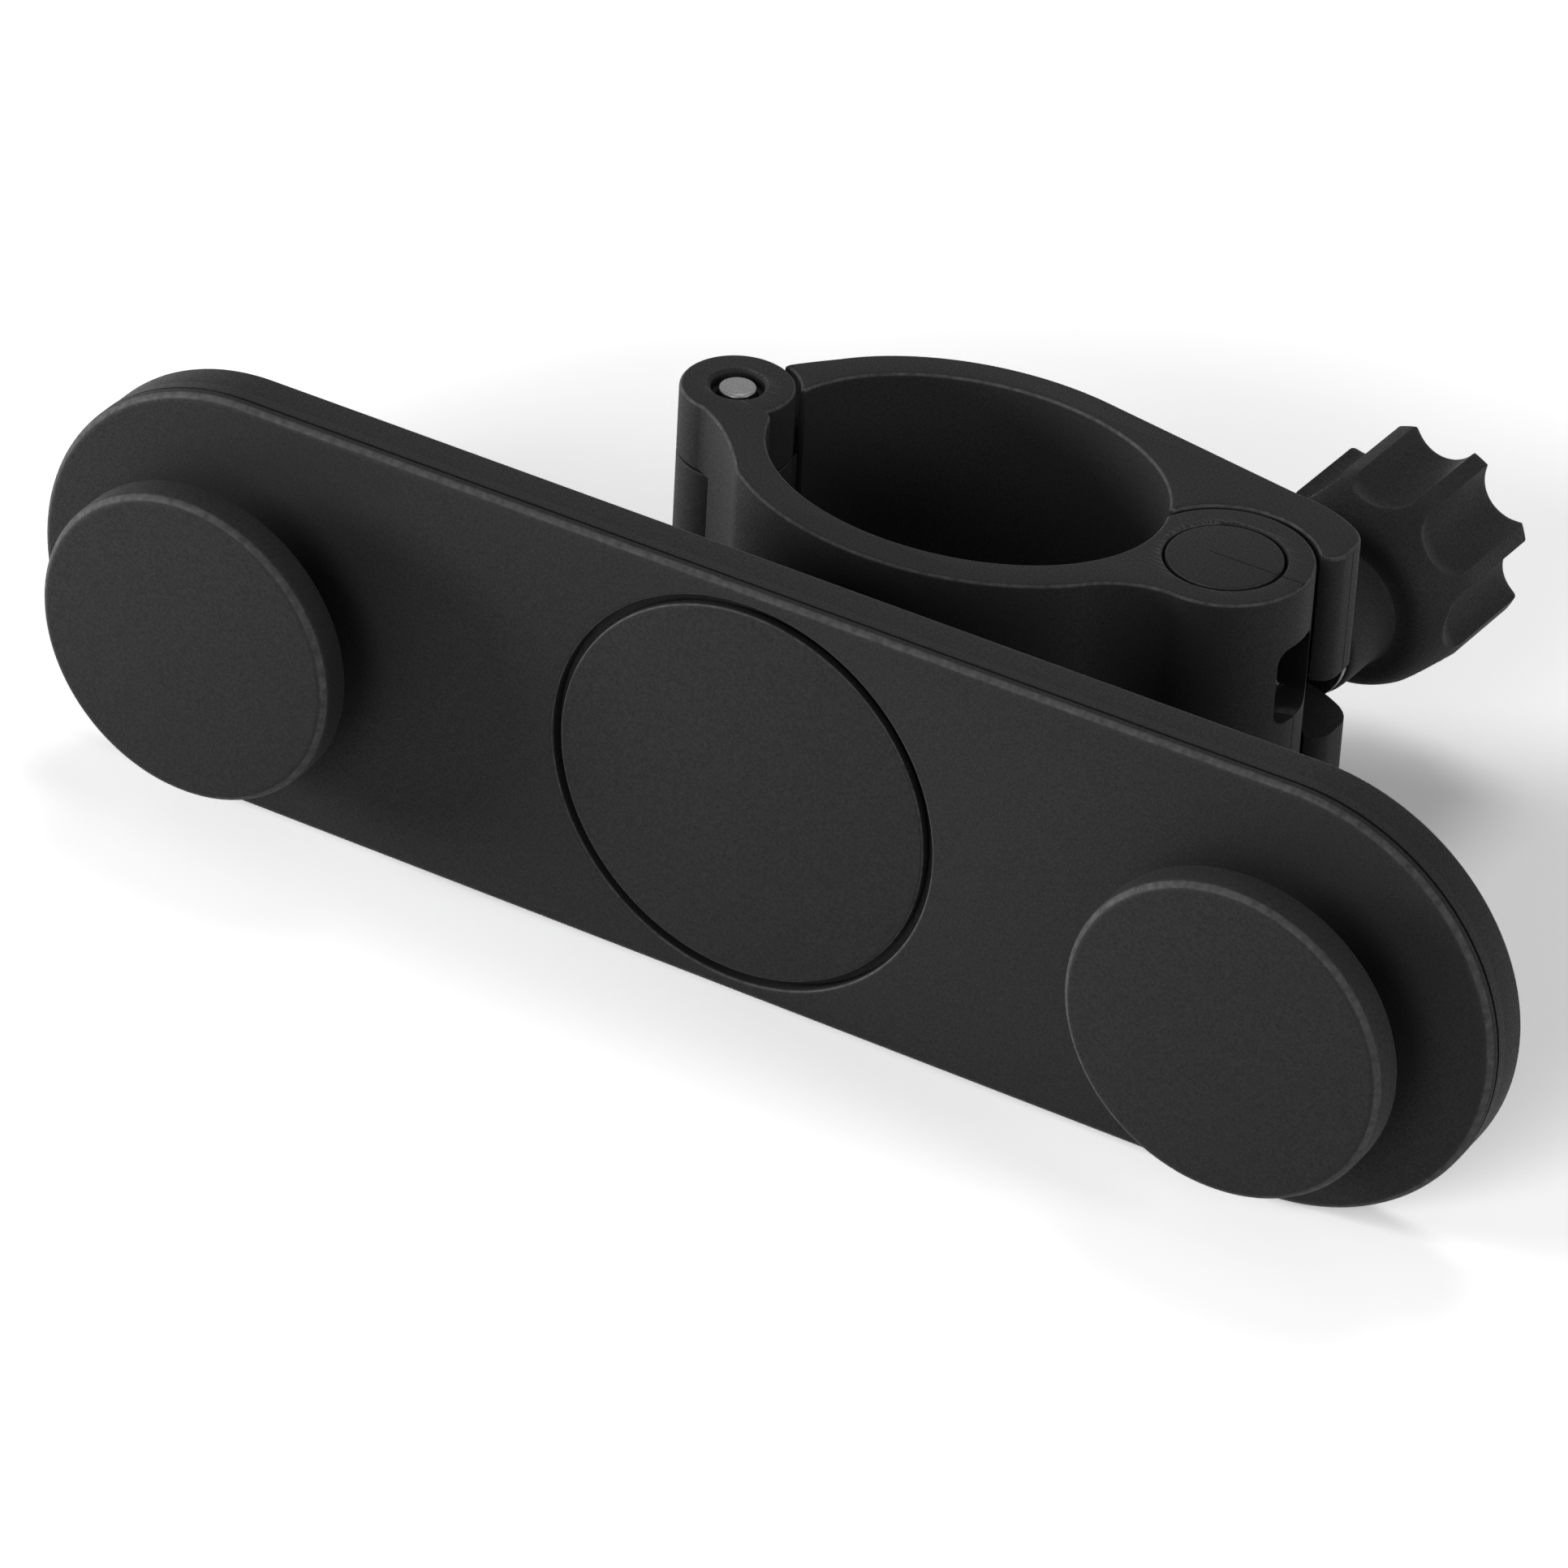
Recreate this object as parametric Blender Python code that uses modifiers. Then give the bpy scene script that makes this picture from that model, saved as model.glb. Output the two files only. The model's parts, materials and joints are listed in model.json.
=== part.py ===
"""Handlebar phone mount: a long plate with two mushroom studs, on a hinged clamp drawn shut by a swing bolt.

Metres, +Z up. The origin is the middle of the handlebar bore, whose axis is Z. +X runs along the plate,
from the hinge to the swing bolt, and +Y points from the plate through the bore to the knob.
"""

import math

import bmesh
import bpy
from mathutils import Matrix, Vector

MM = 0.001
OBJECT_NAME = "phone_mount"

# Gaps: one between pieces that rest on each other, one round a shaft in its hole.
SEAT_GAP = 0.3 * MM
SHAFT_GAP = 0.15 * MM
# How far a cutter, or a body that a union swallows, runs past the surface it crosses.
OVERRUN = 2.0 * MM

# Clamp: an oval bore in a ring that is split into a front half and a rear arm.
CLAMP_HEIGHT = 30.0 * MM
BORE_HALF_WIDTH = 18.0 * MM
BORE_HALF_DEPTH = 13.6 * MM
FRONT_WALL = 3.5 * MM
REAR_WALL = 3.1 * MM

# Hinge at the left end of the ring, with two front knuckles round one rear knuckle.
HINGE_OFFSET = 4.8 * MM
HINGE_Y = 0.3 * MM
KNUCKLE_RADIUS = 5.0 * MM
KNUCKLE_HEIGHT = 6.3 * MM
KNUCKLE_GAP = 0.35 * MM
PIN_RADIUS = 1.7 * MM
PIN_RECESS_RADIUS = 2.35 * MM
PIN_RECESS_DEPTH = 1.1 * MM
PIN_END_BELOW_TOP = 0.2 * MM
PIN_EDGE = 0.35 * MM

# Swing bolt boss at the right end of the ring, with the barrel that the bolt turns on.
BOSS_OFFSET = 6.6 * MM
BOSS_RADIUS = 7.65 * MM
BARREL_RADIUS = 5.0 * MM
BARREL_GAP = 0.25 * MM
BOLT_RADIUS = 2.5 * MM
BOLT_SLOT_HALF_HEIGHT = 2.85 * MM
BOLT_LEAN = math.radians(2.5)
BOLT_SWING = math.radians(34.0)
BOLT_SLOT_GAP = 0.35 * MM
BOLT_HEAD_RADIUS = 3.3 * MM
BOLT_HEAD_HEIGHT = 2.4 * MM
BOLT_HEAD_INSET = 1.5 * MM
BOSS_WINDOW_HALF_WIDTH = 2.8 * MM
BOSS_WINDOW_BOTTOM = 2.1 * MM
BOSS_WINDOW_TOP = 9.5 * MM
BOSS_WINDOW_CORNER = 1.3 * MM

# Rear arm: its end is round about the barrel, so that the bolt can swing past it.
NEST_GAP = 0.35 * MM
ARM_END_RADIUS = 12.45 * MM
ARM_END_REACH = 8.2 * MM
BOLT_SEAT_FROM_BARREL = 12.5 * MM
BOLT_SEAT_RADIUS = 6.3 * MM

# Knob on the bolt, measured along the bolt from the barrel.
WASHER_THICKNESS = 0.7 * MM
WASHER_RADIUS = 5.3 * MM
KNOB_END_FROM_BARREL = 36.6 * MM
KNOB_GRIP_LENGTH = 10.0 * MM
KNOB_SHOULDER_LENGTH = 6.0 * MM
KNOB_NECK_RADIUS = 5.6 * MM
KNOB_RADIUS = 9.7 * MM
KNOB_EDGE = 0.5 * MM
KNOB_END_WALL = 2.0 * MM
KNOB_LOBES = 8
KNOB_FIRST_LOBE = math.radians(18.5)
FLUTE_RADIUS = 3.3 * MM
FLUTE_DEPTH = 2.2 * MM
INSERT_RADIUS = 3.7 * MM
INSERT_LENGTH = 7.7 * MM
BOLT_END_FROM_BARREL = 33.0 * MM

# Plate: a front cover over a shallow back housing, both with round ends.
PLATE_SHIFT = -0.9 * MM
PLATE_FRONT_Y = -33.95 * MM
PLATE_HALF_LENGTH = 69.8 * MM
PLATE_HALF_HEIGHT = 19.8 * MM
COVER_THICKNESS = 2.2 * MM
COVER_EDGE = 0.8 * MM
HOUSING_DEPTH = 2.9 * MM
HOUSING_INSET = 0.2 * MM
HOUSING_WALL = 2.0 * MM
HOUSING_FLOOR = 1.4 * MM
HOUSING_EDGE = 0.5 * MM

# Badge disc in a round recess at the middle of the cover.
BADGE_RADIUS = 17.5 * MM
BADGE_THICKNESS = 1.0 * MM
BADGE_GROOVE = 0.8 * MM
SCREW_ACCESS_RADIUS = 6.5 * MM

# Studs: mushroom heads on stems, one at each end of the plate.
STUD_FROM_MIDDLE = 49.77 * MM
STUD_RADIUS = 14.42 * MM
STUD_EDGE = 0.88 * MM
STUD_HEAD_THICKNESS = 3.3 * MM
STUD_STEM_RADIUS = 7.5 * MM
STUD_STEM_LENGTH = 4.85 * MM
STUD_INSERT_RADIUS = 2.4 * MM
STUD_INSERT_LENGTH = 4.6 * MM
STUD_SCREW_RADIUS = 1.5 * MM
STUD_SCREW_HEAD_RADIUS = 2.8 * MM
STUD_SCREW_HEAD_HEIGHT = 1.4 * MM
STUD_PILLAR_RADIUS = 5.0 * MM

# Small screws that close the housing, at the corners of a rectangle.
CASE_SCREW_HALF_X = 30.0 * MM
CASE_SCREW_HALF_Z = 13.0 * MM
CASE_SCREW_RADIUS = 1.05 * MM
CASE_SCREW_HEAD_RADIUS = 2.1 * MM
CASE_SCREW_HEAD_HEIGHT = 0.9 * MM
CASE_SCREW_BITE = 1.3 * MM
CASE_PILLAR_RADIUS = 3.2 * MM

# Swivel between the housing's hub and the clamp's round foot.
HUB_RADIUS = 11.5 * MM
HUB_LENGTH = 4.2 * MM
FOOT_RADIUS = 10.0 * MM
RING_RADIUS = 9.6 * MM
RING_THICKNESS = 0.6 * MM
SWIVEL_SCREW_RADIUS = 2.0 * MM
SWIVEL_HEAD_RADIUS = 3.8 * MM
SWIVEL_HEAD_HEIGHT = 1.5 * MM
SWIVEL_WASHER_RADIUS = 4.6 * MM
SWIVEL_WASHER_THICKNESS = 0.6 * MM
SWIVEL_INSERT_RADIUS = 3.0 * MM
SWIVEL_INSERT_LENGTH = 5.0 * MM

# Sides of a full circle, for large, middling and small rounds.
LARGE_SIDES = 48
SIDES = 32
SMALL_SIDES = 18

# Heights and places that follow from the sizes above.
HALF_HEIGHT = CLAMP_HEIGHT / 2
HINGE = Vector((-BORE_HALF_WIDTH - HINGE_OFFSET, HINGE_Y, 0.0))
BARREL = Vector((BORE_HALF_WIDTH + BOSS_OFFSET, HINGE_Y, 0.0))
BARREL_HOLE_RADIUS = BARREL_RADIUS + BARREL_GAP
COVER_BACK_Y = PLATE_FRONT_Y + COVER_THICKNESS
HOUSING_FRONT_Y = COVER_BACK_Y + SEAT_GAP
PLATE_BACK_Y = HOUSING_FRONT_Y + HOUSING_DEPTH
BADGE_FLOOR_Y = PLATE_FRONT_Y + BADGE_THICKNESS + SEAT_GAP
HUB_END_Y = PLATE_BACK_Y + HUB_LENGTH
FOOT_Y = HUB_END_Y + RING_THICKNESS + 2 * SEAT_GAP
SWIVEL_HEAD_FRONT_Y = BADGE_FLOOR_Y + SEAT_GAP / 2
SWIVEL_WASHER_FRONT_Y = SWIVEL_HEAD_FRONT_Y + SWIVEL_HEAD_HEIGHT + SEAT_GAP
SWIVEL_SEAT_Y = SWIVEL_WASHER_FRONT_Y + SWIVEL_WASHER_THICKNESS + SEAT_GAP
WASHER_START = BOLT_SEAT_FROM_BARREL + SEAT_GAP
KNOB_START = WASHER_START + WASHER_THICKNESS + SEAT_GAP
STUD_BASE_Y = PLATE_FRONT_Y - SEAT_GAP
STUD_FACE_Y = STUD_BASE_Y - STUD_STEM_LENGTH - STUD_HEAD_THICKNESS


# ---------------------------------------------------------------- scene, materials and modifiers

def clear_scene():
    for obj in list(bpy.data.objects):
        bpy.data.objects.remove(obj, do_unlink=True)


def new_collection(name, hidden):
    collection = bpy.data.collections.new(name)
    collection.hide_render = hidden
    bpy.context.scene.collection.children.link(collection)
    return collection


def material(name, colour, roughness, metallic):
    made = bpy.data.materials.new(name)
    made.use_nodes = True
    shader = made.node_tree.nodes["Principled BSDF"]
    shader.inputs["Base Color"].default_value = (*colour, 1.0)
    shader.inputs["Roughness"].default_value = roughness
    shader.inputs["Metallic"].default_value = metallic
    made.diffuse_color = (*colour, 1.0)
    return made


def pivot(name, place, turn=0.0):
    """An empty on a joint's axis, turned about Z, that its moving pieces hang from."""
    empty = bpy.data.objects.new(name, None)
    PARTS.objects.link(empty)
    empty.location = place
    empty.rotation_euler = (0.0, 0.0, turn)
    bpy.context.view_layer.update()
    return empty


def finish(obj, name, surface, parent=None):
    """Names a piece, gives it its material, shades it and hangs it on its pivot."""
    obj.name = name
    obj.data.name = name
    obj.data.materials.clear()
    obj.data.materials.append(surface)
    obj.data.shade_smooth()
    obj.data.set_sharp_from_angle(angle=math.radians(35.0))
    obj.parent = parent
    return obj


def as_cutter(obj):
    obj.hide_render = True
    obj.display_type = "WIRE"
    for collection in list(obj.users_collection):
        collection.objects.unlink(obj)
    CUTTERS.objects.link(obj)
    return obj


def combine(obj, other, operation):
    """Adds a Boolean to obj. The other shape becomes a helper on the same pivot frame."""
    as_cutter(other)
    modifier = obj.modifiers.new(other.name, "BOOLEAN")
    modifier.operation = operation
    modifier.solver = "EXACT"
    modifier.object = other


def cut(obj, *others):
    for other in others:
        combine(obj, other, "DIFFERENCE")


def unite(obj, *others):
    for other in others:
        combine(obj, other, "UNION")


def baked(obj):
    """Replaces a piece's modifiers by the mesh that they make, in its own frame."""
    graph = bpy.context.evaluated_depsgraph_get()
    mesh = bpy.data.meshes.new_from_object(obj.evaluated_get(graph))
    name = obj.name
    made = bpy.data.objects.new(name, mesh)
    made.matrix_world = obj.matrix_world.copy()
    PARTS.objects.link(made)
    bpy.data.objects.remove(obj, do_unlink=True)
    return made


# ---------------------------------------------------------------- basic shapes

def circle_point(centre, radius, angle):
    return (centre[0] + radius * math.cos(angle), centre[1] + radius * math.sin(angle))


def arc(centre, radius, start, end, sides=LARGE_SIDES):
    """Points on an arc from one angle to another, in degrees."""
    count = max(2, round(abs(end - start) / 360.0 * sides))
    angles = [math.radians(start + (end - start) * i / count) for i in range(count + 1)]
    return [circle_point(centre, radius, angle) for angle in angles]


def oval(half_width, half_depth, start, end, sides=LARGE_SIDES):
    return [(x * half_width, y * half_depth) for x, y in arc((0.0, 0.0), 1.0, start, end, sides)]


def bend(start, corner, end, count=6):
    """A smooth quadratic curve that rounds a corner."""
    steps = [i / count for i in range(count + 1)]
    points = []
    for t in steps:
        weights = ((1 - t) ** 2, 2 * t * (1 - t), t * t)
        points.append(
            tuple(sum(w * p[axis] for w, p in zip(weights, (start, corner, end))) for axis in (0, 1))
        )
    return points


TURNS = {
    "Z": Matrix.Identity(4),
    "Y": Matrix.Rotation(math.radians(90.0), 4, "X"),
    "X": Matrix.Rotation(math.radians(90.0), 4, "Z") @ Matrix.Rotation(math.radians(90.0), 4, "X"),
}


def prism(name, outline, low, high, axis="Z"):
    """A flat outline made solid between two places along an axis.

    The outline is given in X and Y for axis Z, in X and Z for axis Y, and in Y and Z for axis X.
    """
    curve = bpy.data.curves.new(name, "CURVE")
    curve.dimensions = "2D"
    curve.fill_mode = "BOTH"
    curve.extrude = (high - low) / 2
    spline = curve.splines.new("POLY")
    spline.points.add(len(outline) - 1)
    for point, (x, y) in zip(spline.points, outline):
        point.co = (x, y, 0.0, 1.0)
    spline.use_cyclic_u = True
    guide = bpy.data.objects.new(name, curve)
    PARTS.objects.link(guide)
    graph = bpy.context.evaluated_depsgraph_get()
    mesh = bpy.data.meshes.new_from_object(guide.evaluated_get(graph))
    bpy.data.objects.remove(guide, do_unlink=True)
    middle = (low + high) / 2
    shift = {"Z": (0, 0, middle), "Y": (0, middle, 0), "X": (middle, 0, 0)}[axis]
    mesh.transform(Matrix.Translation(shift) @ TURNS[axis])
    weld(mesh)
    return from_mesh(name, mesh)


def weld(mesh):
    shape = bmesh.new()
    shape.from_mesh(mesh)
    bmesh.ops.remove_doubles(shape, verts=shape.verts, dist=1e-6)
    bmesh.ops.recalc_face_normals(shape, faces=shape.faces)
    shape.to_mesh(mesh)
    shape.free()


def from_mesh(name, mesh):
    obj = bpy.data.objects.new(name, mesh)
    PARTS.objects.link(obj)
    return obj


def rod(name, centre, radius, low, high, axis="Z", sides=SIDES):
    """A plain cylinder along an axis. The centre gives the two coordinates across it, as for prism."""
    shape = bmesh.new()
    place = Matrix.Translation((centre[0], centre[1], 0.0))
    bmesh.ops.create_cone(
        shape, cap_ends=True, segments=sides, radius1=radius, radius2=radius, depth=high - low, matrix=place
    )
    middle = (low + high) / 2
    shift = {"Z": (0, 0, middle), "Y": (0, middle, 0), "X": (middle, 0, 0)}[axis]
    shape.transform(Matrix.Translation(shift) @ TURNS[axis])
    bmesh.ops.recalc_face_normals(shape, faces=shape.faces)
    mesh = bpy.data.meshes.new(name)
    shape.to_mesh(mesh)
    shape.free()
    return from_mesh(name, mesh)


def box(name, low, high):
    shape = bmesh.new()
    bmesh.ops.create_cube(shape, size=1.0)
    size = Vector(high) - Vector(low)
    middle = (Vector(high) + Vector(low)) / 2
    shape.transform(Matrix.Translation(middle) @ Matrix.Diagonal((*size, 1.0)))
    mesh = bpy.data.meshes.new(name)
    shape.to_mesh(mesh)
    shape.free()
    return from_mesh(name, mesh)


def turned(name, profile, centre=(0.0, 0.0), axis="Y", sides=SIDES):
    """A turned shape. The profile lists (radius, place along the axis), from the far end to the near end."""
    mesh = bpy.data.meshes.new(name)
    shape = bmesh.new()
    points = [shape.verts.new((radius, 0.0, place)) for radius, place in profile]
    for first, second in zip(points, points[1:]):
        shape.edges.new((first, second))
    shape.to_mesh(mesh)
    shape.free()
    obj = bpy.data.objects.new(name, mesh)
    PARTS.objects.link(obj)
    screw = obj.modifiers.new("turn", "SCREW")
    screw.axis = "Z"
    screw.steps = sides
    screw.render_steps = sides
    screw.use_merge_vertices = True
    screw.merge_threshold = 1e-6
    made = baked(obj)
    along = Matrix.Rotation(math.radians(-90.0), 4, "X") if axis == "Y" else Matrix.Identity(4)
    shift = (centre[0], 0.0, centre[1]) if axis == "Y" else (centre[0], centre[1], 0.0)
    made.data.transform(Matrix.Translation(shift) @ along)
    weld(made.data)
    return made


def pan_screw(name, centre, head_start, head_radius, head_height, shank_radius, shank_end):
    """A screw along Y whose head starts at one place and whose shank runs on to another."""
    way = 1.0 if shank_end > head_start else -1.0
    under = head_start + way * head_height
    dome = head_height * 0.35
    profile = [(0.0, head_start), (head_radius * 0.7, head_start), (head_radius, head_start + way * dome)]
    profile += [(head_radius, under), (shank_radius, under), (shank_radius, shank_end), (0.0, shank_end)]
    if way > 0:
        profile.reverse()
    return turned(name, profile, centre, "Y", SMALL_SIDES)


def hollow_ring(name, centre, outer, inner, low, high, axis="Y", sides=SIDES):
    profile = [(inner, high), (outer, high), (outer, low), (inner, low), (inner, high)]
    return turned(name, profile, centre, axis, sides)


# ---------------------------------------------------------------- clamp

def front_outer(start, end):
    return oval(BORE_HALF_WIDTH + FRONT_WALL, BORE_HALF_DEPTH + FRONT_WALL, start, end)


def rear_outer(start, end):
    return oval(BORE_HALF_WIDTH + FRONT_WALL, BORE_HALF_DEPTH + REAR_WALL, start, end)


def bore_oval(start, end):
    return oval(BORE_HALF_WIDTH, BORE_HALF_DEPTH, start, end)


def hinge_web():
    """The filled corner between the ring and the front knuckles."""
    ring_point = front_outer(223.0, 224.0)[0]
    knuckle_point = circle_point(HINGE, KNUCKLE_RADIUS, math.radians(264.0))
    corner = (ring_point[0] * 0.36 + knuckle_point[0] * 0.64, ring_point[1] * 0.36 + knuckle_point[1] * 0.64)
    inside = [(HINGE.x, HINGE.y), circle_point(HINGE, KNUCKLE_RADIUS * 0.8, 0.0), bore_oval(214.0, 215.0)[0]]
    inside[-1] = tuple(value * 1.06 for value in inside[-1])
    return bend(ring_point, (corner[0] + 0.9 * MM, corner[1] + 0.9 * MM), knuckle_point) + inside


def boss_web():
    """The filled corner between the ring and the bolt's boss."""
    ring_point = front_outer(325.0, 326.0)[0]
    boss_point = circle_point(BARREL, BOSS_RADIUS, math.radians(262.0))
    corner = (boss_point[0] * 0.45 + ring_point[0] * 0.55, boss_point[1] - 0.15 * MM)
    inside = [(BARREL.x, BARREL.y), circle_point(BARREL, BOSS_RADIUS * 0.9, math.pi), ring_inner_right()]
    return bend(ring_point, corner, boss_point) + inside


def ring_inner_right():
    return tuple(value * 1.06 for value in bore_oval(335.0, 336.0)[0])


def clamp_front_half():
    """Half of the ring, with the foot of the swivel, two hinge knuckles and the boss for the barrel."""
    low, high = -HALF_HEIGHT, HALF_HEIGHT
    half_ring = front_outer(184.0, 356.0) + list(reversed(bore_oval(183.0, 357.0)))
    half = prism("front_ring", half_ring, low, high)
    foot_depth = -BORE_HALF_DEPTH - FOOT_Y
    unite(
        half,
        rod("front_knuckles", HINGE, KNUCKLE_RADIUS, low, high),
        rod("bolt_boss", BARREL, BOSS_RADIUS, low, high, sides=LARGE_SIDES),
        prism("hinge_web", hinge_web(), low, high),
        prism("boss_web", boss_web(), low, high),
        rod("swivel_foot", (PLATE_SHIFT, 0.0), FOOT_RADIUS, FOOT_Y, FOOT_Y + foot_depth + OVERRUN, "Y"),
    )
    past_low, past_high = low - OVERRUN, high + OVERRUN
    window_low, window_high = low + KNUCKLE_HEIGHT, high - KNUCKLE_HEIGHT
    recess = PIN_RECESS_DEPTH
    cut(
        half,
        prism("bore_space", bore_oval(0.0, 360.0)[:-1], past_low, past_high),
        rod("knuckle_window", HINGE, KNUCKLE_RADIUS + KNUCKLE_GAP, window_low, window_high),
        rod("pin_hole", HINGE, PIN_RADIUS + SHAFT_GAP, past_low, past_high),
        rod("pin_recess_top", HINGE, PIN_RECESS_RADIUS, high - recess, past_high),
        rod("pin_recess_bottom", HINGE, PIN_RECESS_RADIUS, past_low, low + recess),
        rod("barrel_hole", BARREL, BARREL_HOLE_RADIUS, past_low, past_high),
        prism("swing_slot", swing_slot(), -BOLT_SLOT_HALF_HEIGHT, BOLT_SLOT_HALF_HEIGHT),
        prism("boss_window", boss_window(), BARREL.x, BARREL.x + BOSS_RADIUS + OVERRUN, "X"),
        rod(
            "insert_hole",
            (PLATE_SHIFT, 0.0),
            SWIVEL_INSERT_RADIUS + SHAFT_GAP,
            FOOT_Y - OVERRUN,
            FOOT_Y + SWIVEL_INSERT_LENGTH + 2 * SEAT_GAP,
            "Y",
            SMALL_SIDES,
        ),
    )
    return finish(baked(half), "clamp_front_half", BLACK_PLASTIC)


def swing_slot():
    """The wedge that the bolt sweeps through the boss wall, with the bolt's width at both ends."""
    rest = math.pi / 2 - BOLT_LEAN
    reach = BOSS_RADIUS + OVERRUN
    half_width = BOLT_RADIUS + BOLT_SLOT_GAP
    swung, back = rest - BOLT_SWING, rest
    start = circle_point(BARREL, half_width, swung - math.pi / 2)
    finish_side = circle_point(BARREL, half_width, back + math.pi / 2)
    outer_start = circle_point(start, reach, swung)
    outer_end = circle_point(finish_side, reach, back)
    middle = circle_point(BARREL, reach * 1.3, (swung + back) / 2)
    return [start, outer_start, middle, outer_end, finish_side]


def rounded_rectangle(low, high, corner):
    """Corner arcs of a rectangle, from the lower right one round to the lower left one."""
    (x0, y0), (x1, y1) = low, high
    centres = ((x1 - corner, y0 + corner), (x1 - corner, y1 - corner), (x0 + corner, y1 - corner))
    centres += ((x0 + corner, y0 + corner),)
    points = []
    for quarter, centre in enumerate(centres):
        start = -90.0 + 90.0 * quarter
        points += arc(centre, corner, start, start + 90.0, SMALL_SIDES)
    return points


def boss_window():
    low = (BARREL.y - BOSS_WINDOW_HALF_WIDTH, BOSS_WINDOW_BOTTOM)
    high = (BARREL.y + BOSS_WINDOW_HALF_WIDTH, BOSS_WINDOW_TOP)
    return rounded_rectangle(low, high, BOSS_WINDOW_CORNER)


def rear_arm_outline():
    """The rear ring wall, the straight run to the fork, the fork's round end and the nest round the boss."""
    hinge_side = arc(HINGE, KNUCKLE_RADIUS + KNUCKLE_GAP, 28.0, 73.0)
    back = rear_outer(148.0, 79.0)
    end_arc = arc(BARREL, ARM_END_RADIUS, 88.0, 57.0)
    face_x = BARREL.x + ARM_END_REACH
    face_high = (face_x, BARREL.y + ARM_END_RADIUS * 0.66)
    face_low = (face_x, BARREL.y + ARM_END_REACH * 0.78)
    nest = arc(BARREL, BOSS_RADIUS + NEST_GAP, 33.0, 151.0)
    upper_corner = bend(end_arc[-1], (face_x - 0.1 * MM, BARREL.y + ARM_END_RADIUS * 0.76), face_high, 4)
    lower_corner = bend(face_low, (face_x, BARREL.y + ARM_END_REACH * 0.6), nest[0], 4)
    bore = bore_oval(17.0, 168.5)
    return bore + hinge_side + back + end_arc[:-1] + upper_corner + lower_corner[:-1] + nest


def knuckle_root():
    """The web that ties the rear knuckle to the arm."""
    left = circle_point(HINGE, KNUCKLE_RADIUS, math.radians(112.0))
    lower = circle_point(HINGE, KNUCKLE_RADIUS * 0.9, math.radians(12.0))
    start = rear_outer(146.0, 147.0)[0]
    inner = tuple(value * 1.05 for value in bore_oval(158.0, 159.0)[0])
    return [(HINGE.x, HINGE.y), lower, inner, start, left]


def bolt_frame():
    """The bolt's own frame: origin on the barrel's axis at mid-height, local +Y along the bolt."""
    return Matrix.Translation(BARREL) @ Matrix.Rotation(-BOLT_LEAN, 4, "Z")


def clamp_rear_arm(hinge_pivot):
    low, high = -HALF_HEIGHT, HALF_HEIGHT
    arm = prism("rear_ring", rear_arm_outline(), low, high)
    knuckle_low = low + KNUCKLE_HEIGHT + SEAT_GAP
    knuckle_high = high - KNUCKLE_HEIGHT - SEAT_GAP
    unite(
        arm,
        rod("rear_knuckle", HINGE, KNUCKLE_RADIUS, knuckle_low, knuckle_high),
        prism("knuckle_root", knuckle_root(), knuckle_low, knuckle_high),
    )
    seat = rod("bolt_seat", (0.0, 0.0), BOLT_SEAT_RADIUS, BOLT_SEAT_FROM_BARREL, KNOB_END_FROM_BARREL, "Y")
    seat.data.transform(bolt_frame())
    slot_reach = BOLT_RADIUS + SEAT_GAP
    slot_low = (BARREL.x - slot_reach, BARREL.y + BOSS_RADIUS / 2, -BOLT_SLOT_HALF_HEIGHT)
    slot_high = (BARREL.x + ARM_END_RADIUS + OVERRUN, BARREL.y + 2 * ARM_END_RADIUS, BOLT_SLOT_HALF_HEIGHT)
    cut(
        arm,
        rod("rear_pin_hole", HINGE, PIN_RADIUS + SHAFT_GAP, low, high),
        seat,
        box("fork_slot", slot_low, slot_high),
    )
    made = baked(arm)
    made.data.transform(Matrix.Translation(-HINGE))
    return finish(made, "clamp_rear_arm", BLACK_PLASTIC, hinge_pivot)


def hinge_pin():
    end = HALF_HEIGHT - PIN_END_BELOW_TOP
    profile = [(0.0, end), (PIN_RADIUS - PIN_EDGE, end), (PIN_RADIUS, end - PIN_EDGE)]
    profile += [(radius, -place) for radius, place in reversed(profile)]
    return finish(turned("pin", profile, HINGE, "Z", SMALL_SIDES), "hinge_pin", STEEL)


# ---------------------------------------------------------------- swing bolt and knob, in the bolt's frame

def bolt_barrel(bolt_pivot):
    """The round pin of the swing bolt, bored across for the bolt and its head."""
    barrel = rod("barrel", (0.0, 0.0), BARREL_RADIUS, -HALF_HEIGHT, HALF_HEIGHT)
    head_back = BOLT_HEAD_INSET + BOLT_HEAD_HEIGHT - BARREL_RADIUS + SEAT_GAP
    cut(
        barrel,
        rod(
            "bolt_hole", (0.0, 0.0), BOLT_RADIUS + SHAFT_GAP, -BARREL_RADIUS, BARREL_RADIUS + OVERRUN, "Y", SMALL_SIDES,
        ),
        rod(
            "head_hole", (0.0, 0.0), BOLT_HEAD_RADIUS + SHAFT_GAP, -BARREL_RADIUS - OVERRUN, head_back, "Y", SMALL_SIDES,
        ),
    )
    return finish(baked(barrel), "bolt_barrel", BLACK_PLASTIC, bolt_pivot)


def swing_bolt(bolt_pivot):
    head_start = BOLT_HEAD_INSET - BARREL_RADIUS
    head_end = head_start + BOLT_HEAD_HEIGHT
    end = BOLT_END_FROM_BARREL
    profile = [
        (0.0, end), (BOLT_RADIUS - PIN_EDGE, end), (BOLT_RADIUS, end - PIN_EDGE), (BOLT_RADIUS, head_end)
    ]
    profile += [(BOLT_HEAD_RADIUS, head_end), (BOLT_HEAD_RADIUS, head_start), (0.0, head_start)]
    return finish(turned("bolt", profile, sides=SMALL_SIDES), "swing_bolt", STEEL, bolt_pivot)


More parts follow.
